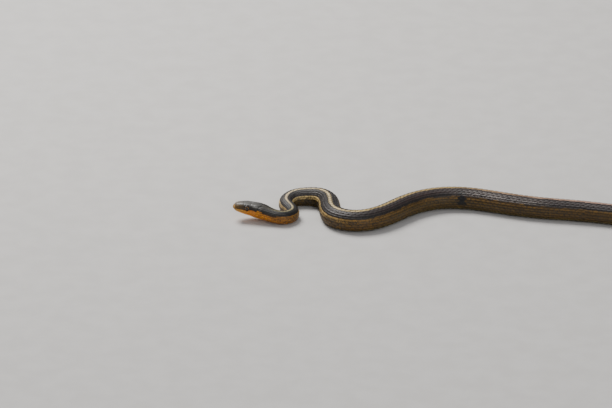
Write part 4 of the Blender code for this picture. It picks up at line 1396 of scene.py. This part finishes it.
def model_eye_rims():
    """Rings of points round each eye, bridged into a closed band."""
    bm = bmesh.new()
    drawing = bm.loops.layers.uv.new("OFBake")
    layers = [bm.verts.layers.float.new(number) for number in NUMBERS]
    ways = np.linspace(0, 2 * math.pi, RIM_SIDES, endpoint=False)
    for side in both:
        rings, shaped = [], []
        for far, rise in RIM_RINGS:
            s, angle = find("side", EYE_AT[0] + far * EYE_RADII[0] * np.cos(ways),
                            EYE_AT[2] + far * EYE_RADII[2] * np.sin(ways))
            verts, edges = stacked_circle(bm, RIM_SIDES, len(rings))
            rings.append((dict(zip(verts, ways)), edges))
            shaped += list(zip(verts, over(s, angle * side, rise), s, angle))
        band = []
        for count, (first, second) in enumerate(zip(rings, rings[1:] + rings[:1])):
            made = bmesh.ops.bridge_loops(bm, edges=first[1] + second[1])["faces"]
            band += made
            for face in made:
                for loop in face.loops:
                    inner = loop.vert in first[0]
                    way = (first if inner else second)[0][loop.vert]
                    far = DRAWN_FROM + DRAWN_STEP * (count if inner else count + 1)
                    loop[drawing].uv = 0.5 - side * 0.25 + far * math.cos(way), 0.5 + far * math.sin(way)
        for vert, point, s, angle in shaped:
            vert.co = point
            for layer, value in zip(layers, (s / TOTAL_LENGTH, 1 - angle / math.pi, 0.2, 0.5)):
                vert[layer] = value
        face_outwards(bm, band)
    finish_piece("eye_rims", mesh_from("eye_rims", bm), rim_coat, "striped_skin")


model_eye_rims()

# %% [markdown]
# ## Floor, light and camera
# The floor is plain and pale. One large soft light from above and behind gives the scales their shine, and a
# weaker one from the camera's side opens the shadows. The camera looks down at 24 degrees from far away
# through a long lens, as the photographer's did.

# %% Floor
pale_floor, tree, sockets = material("pale_floor", 0.8, 0.2)
grain = between(tree, noise(tree, 60, 4.0, 0.5), 0.3, 0.7)
pale = mix(tree, grain, (0.60, 0.585, 0.565, 1), (0.64, 0.625, 0.605, 1))
tree.links.new(pale, sockets["Base Color"])
bm = bmesh.new()
bmesh.ops.create_grid(bm, x_segments=8, y_segments=8, size=12.0)
floor = show("floor", mesh_from("floor", bm))
floor.data.materials.append(pale_floor)


# %% Lights
def soft_light(name, place_at, target, size, power, colour):
    light = bpy.data.lights.new(name, "AREA")
    light.shape = "DISK"
    light.size = size
    light.energy = power
    light.color = colour
    lamp = show(name, light)
    lamp.location = place_at
    lamp.rotation_euler = (Vector(target) - Vector(place_at)).to_track_quat("-Z", "Y").to_euler()


LIT_PLACE = (-0.15, 0, 0)
soft_light("key", (-0.75, 0.75, 1.30), LIT_PLACE, 0.9, 34, (1.0, 0.98, 0.95))
soft_light("fill", (0.25, -1.40, 0.90), LIT_PLACE, 1.2, 7, (0.95, 0.97, 1.0))
world = bpy.data.worlds.new("pale_room")
world.use_nodes = True
room = world.node_tree.nodes["Background"].inputs
room["Color"].default_value = (0.88, 0.89, 0.93, 1)
room["Strength"].default_value = 0.35
bpy.context.scene.world = world

# %% Camera
CAMERA_AWAY, CAMERA_TILT = 3.9, math.radians(24)
target = Vector((-0.2404, 0.0233, 0))
lens = bpy.data.cameras.new("camera")
lens.lens = 318.6
lens.sensor_width = 36
camera = show("camera", lens)
camera.location = target + CAMERA_AWAY * Vector((0, -math.cos(CAMERA_TILT), math.sin(CAMERA_TILT)))
camera.rotation_euler = (math.pi / 2 - CAMERA_TILT, 0, 0)
bpy.context.scene.camera = camera

# %% Update the scene
bpy.context.view_layer.update()
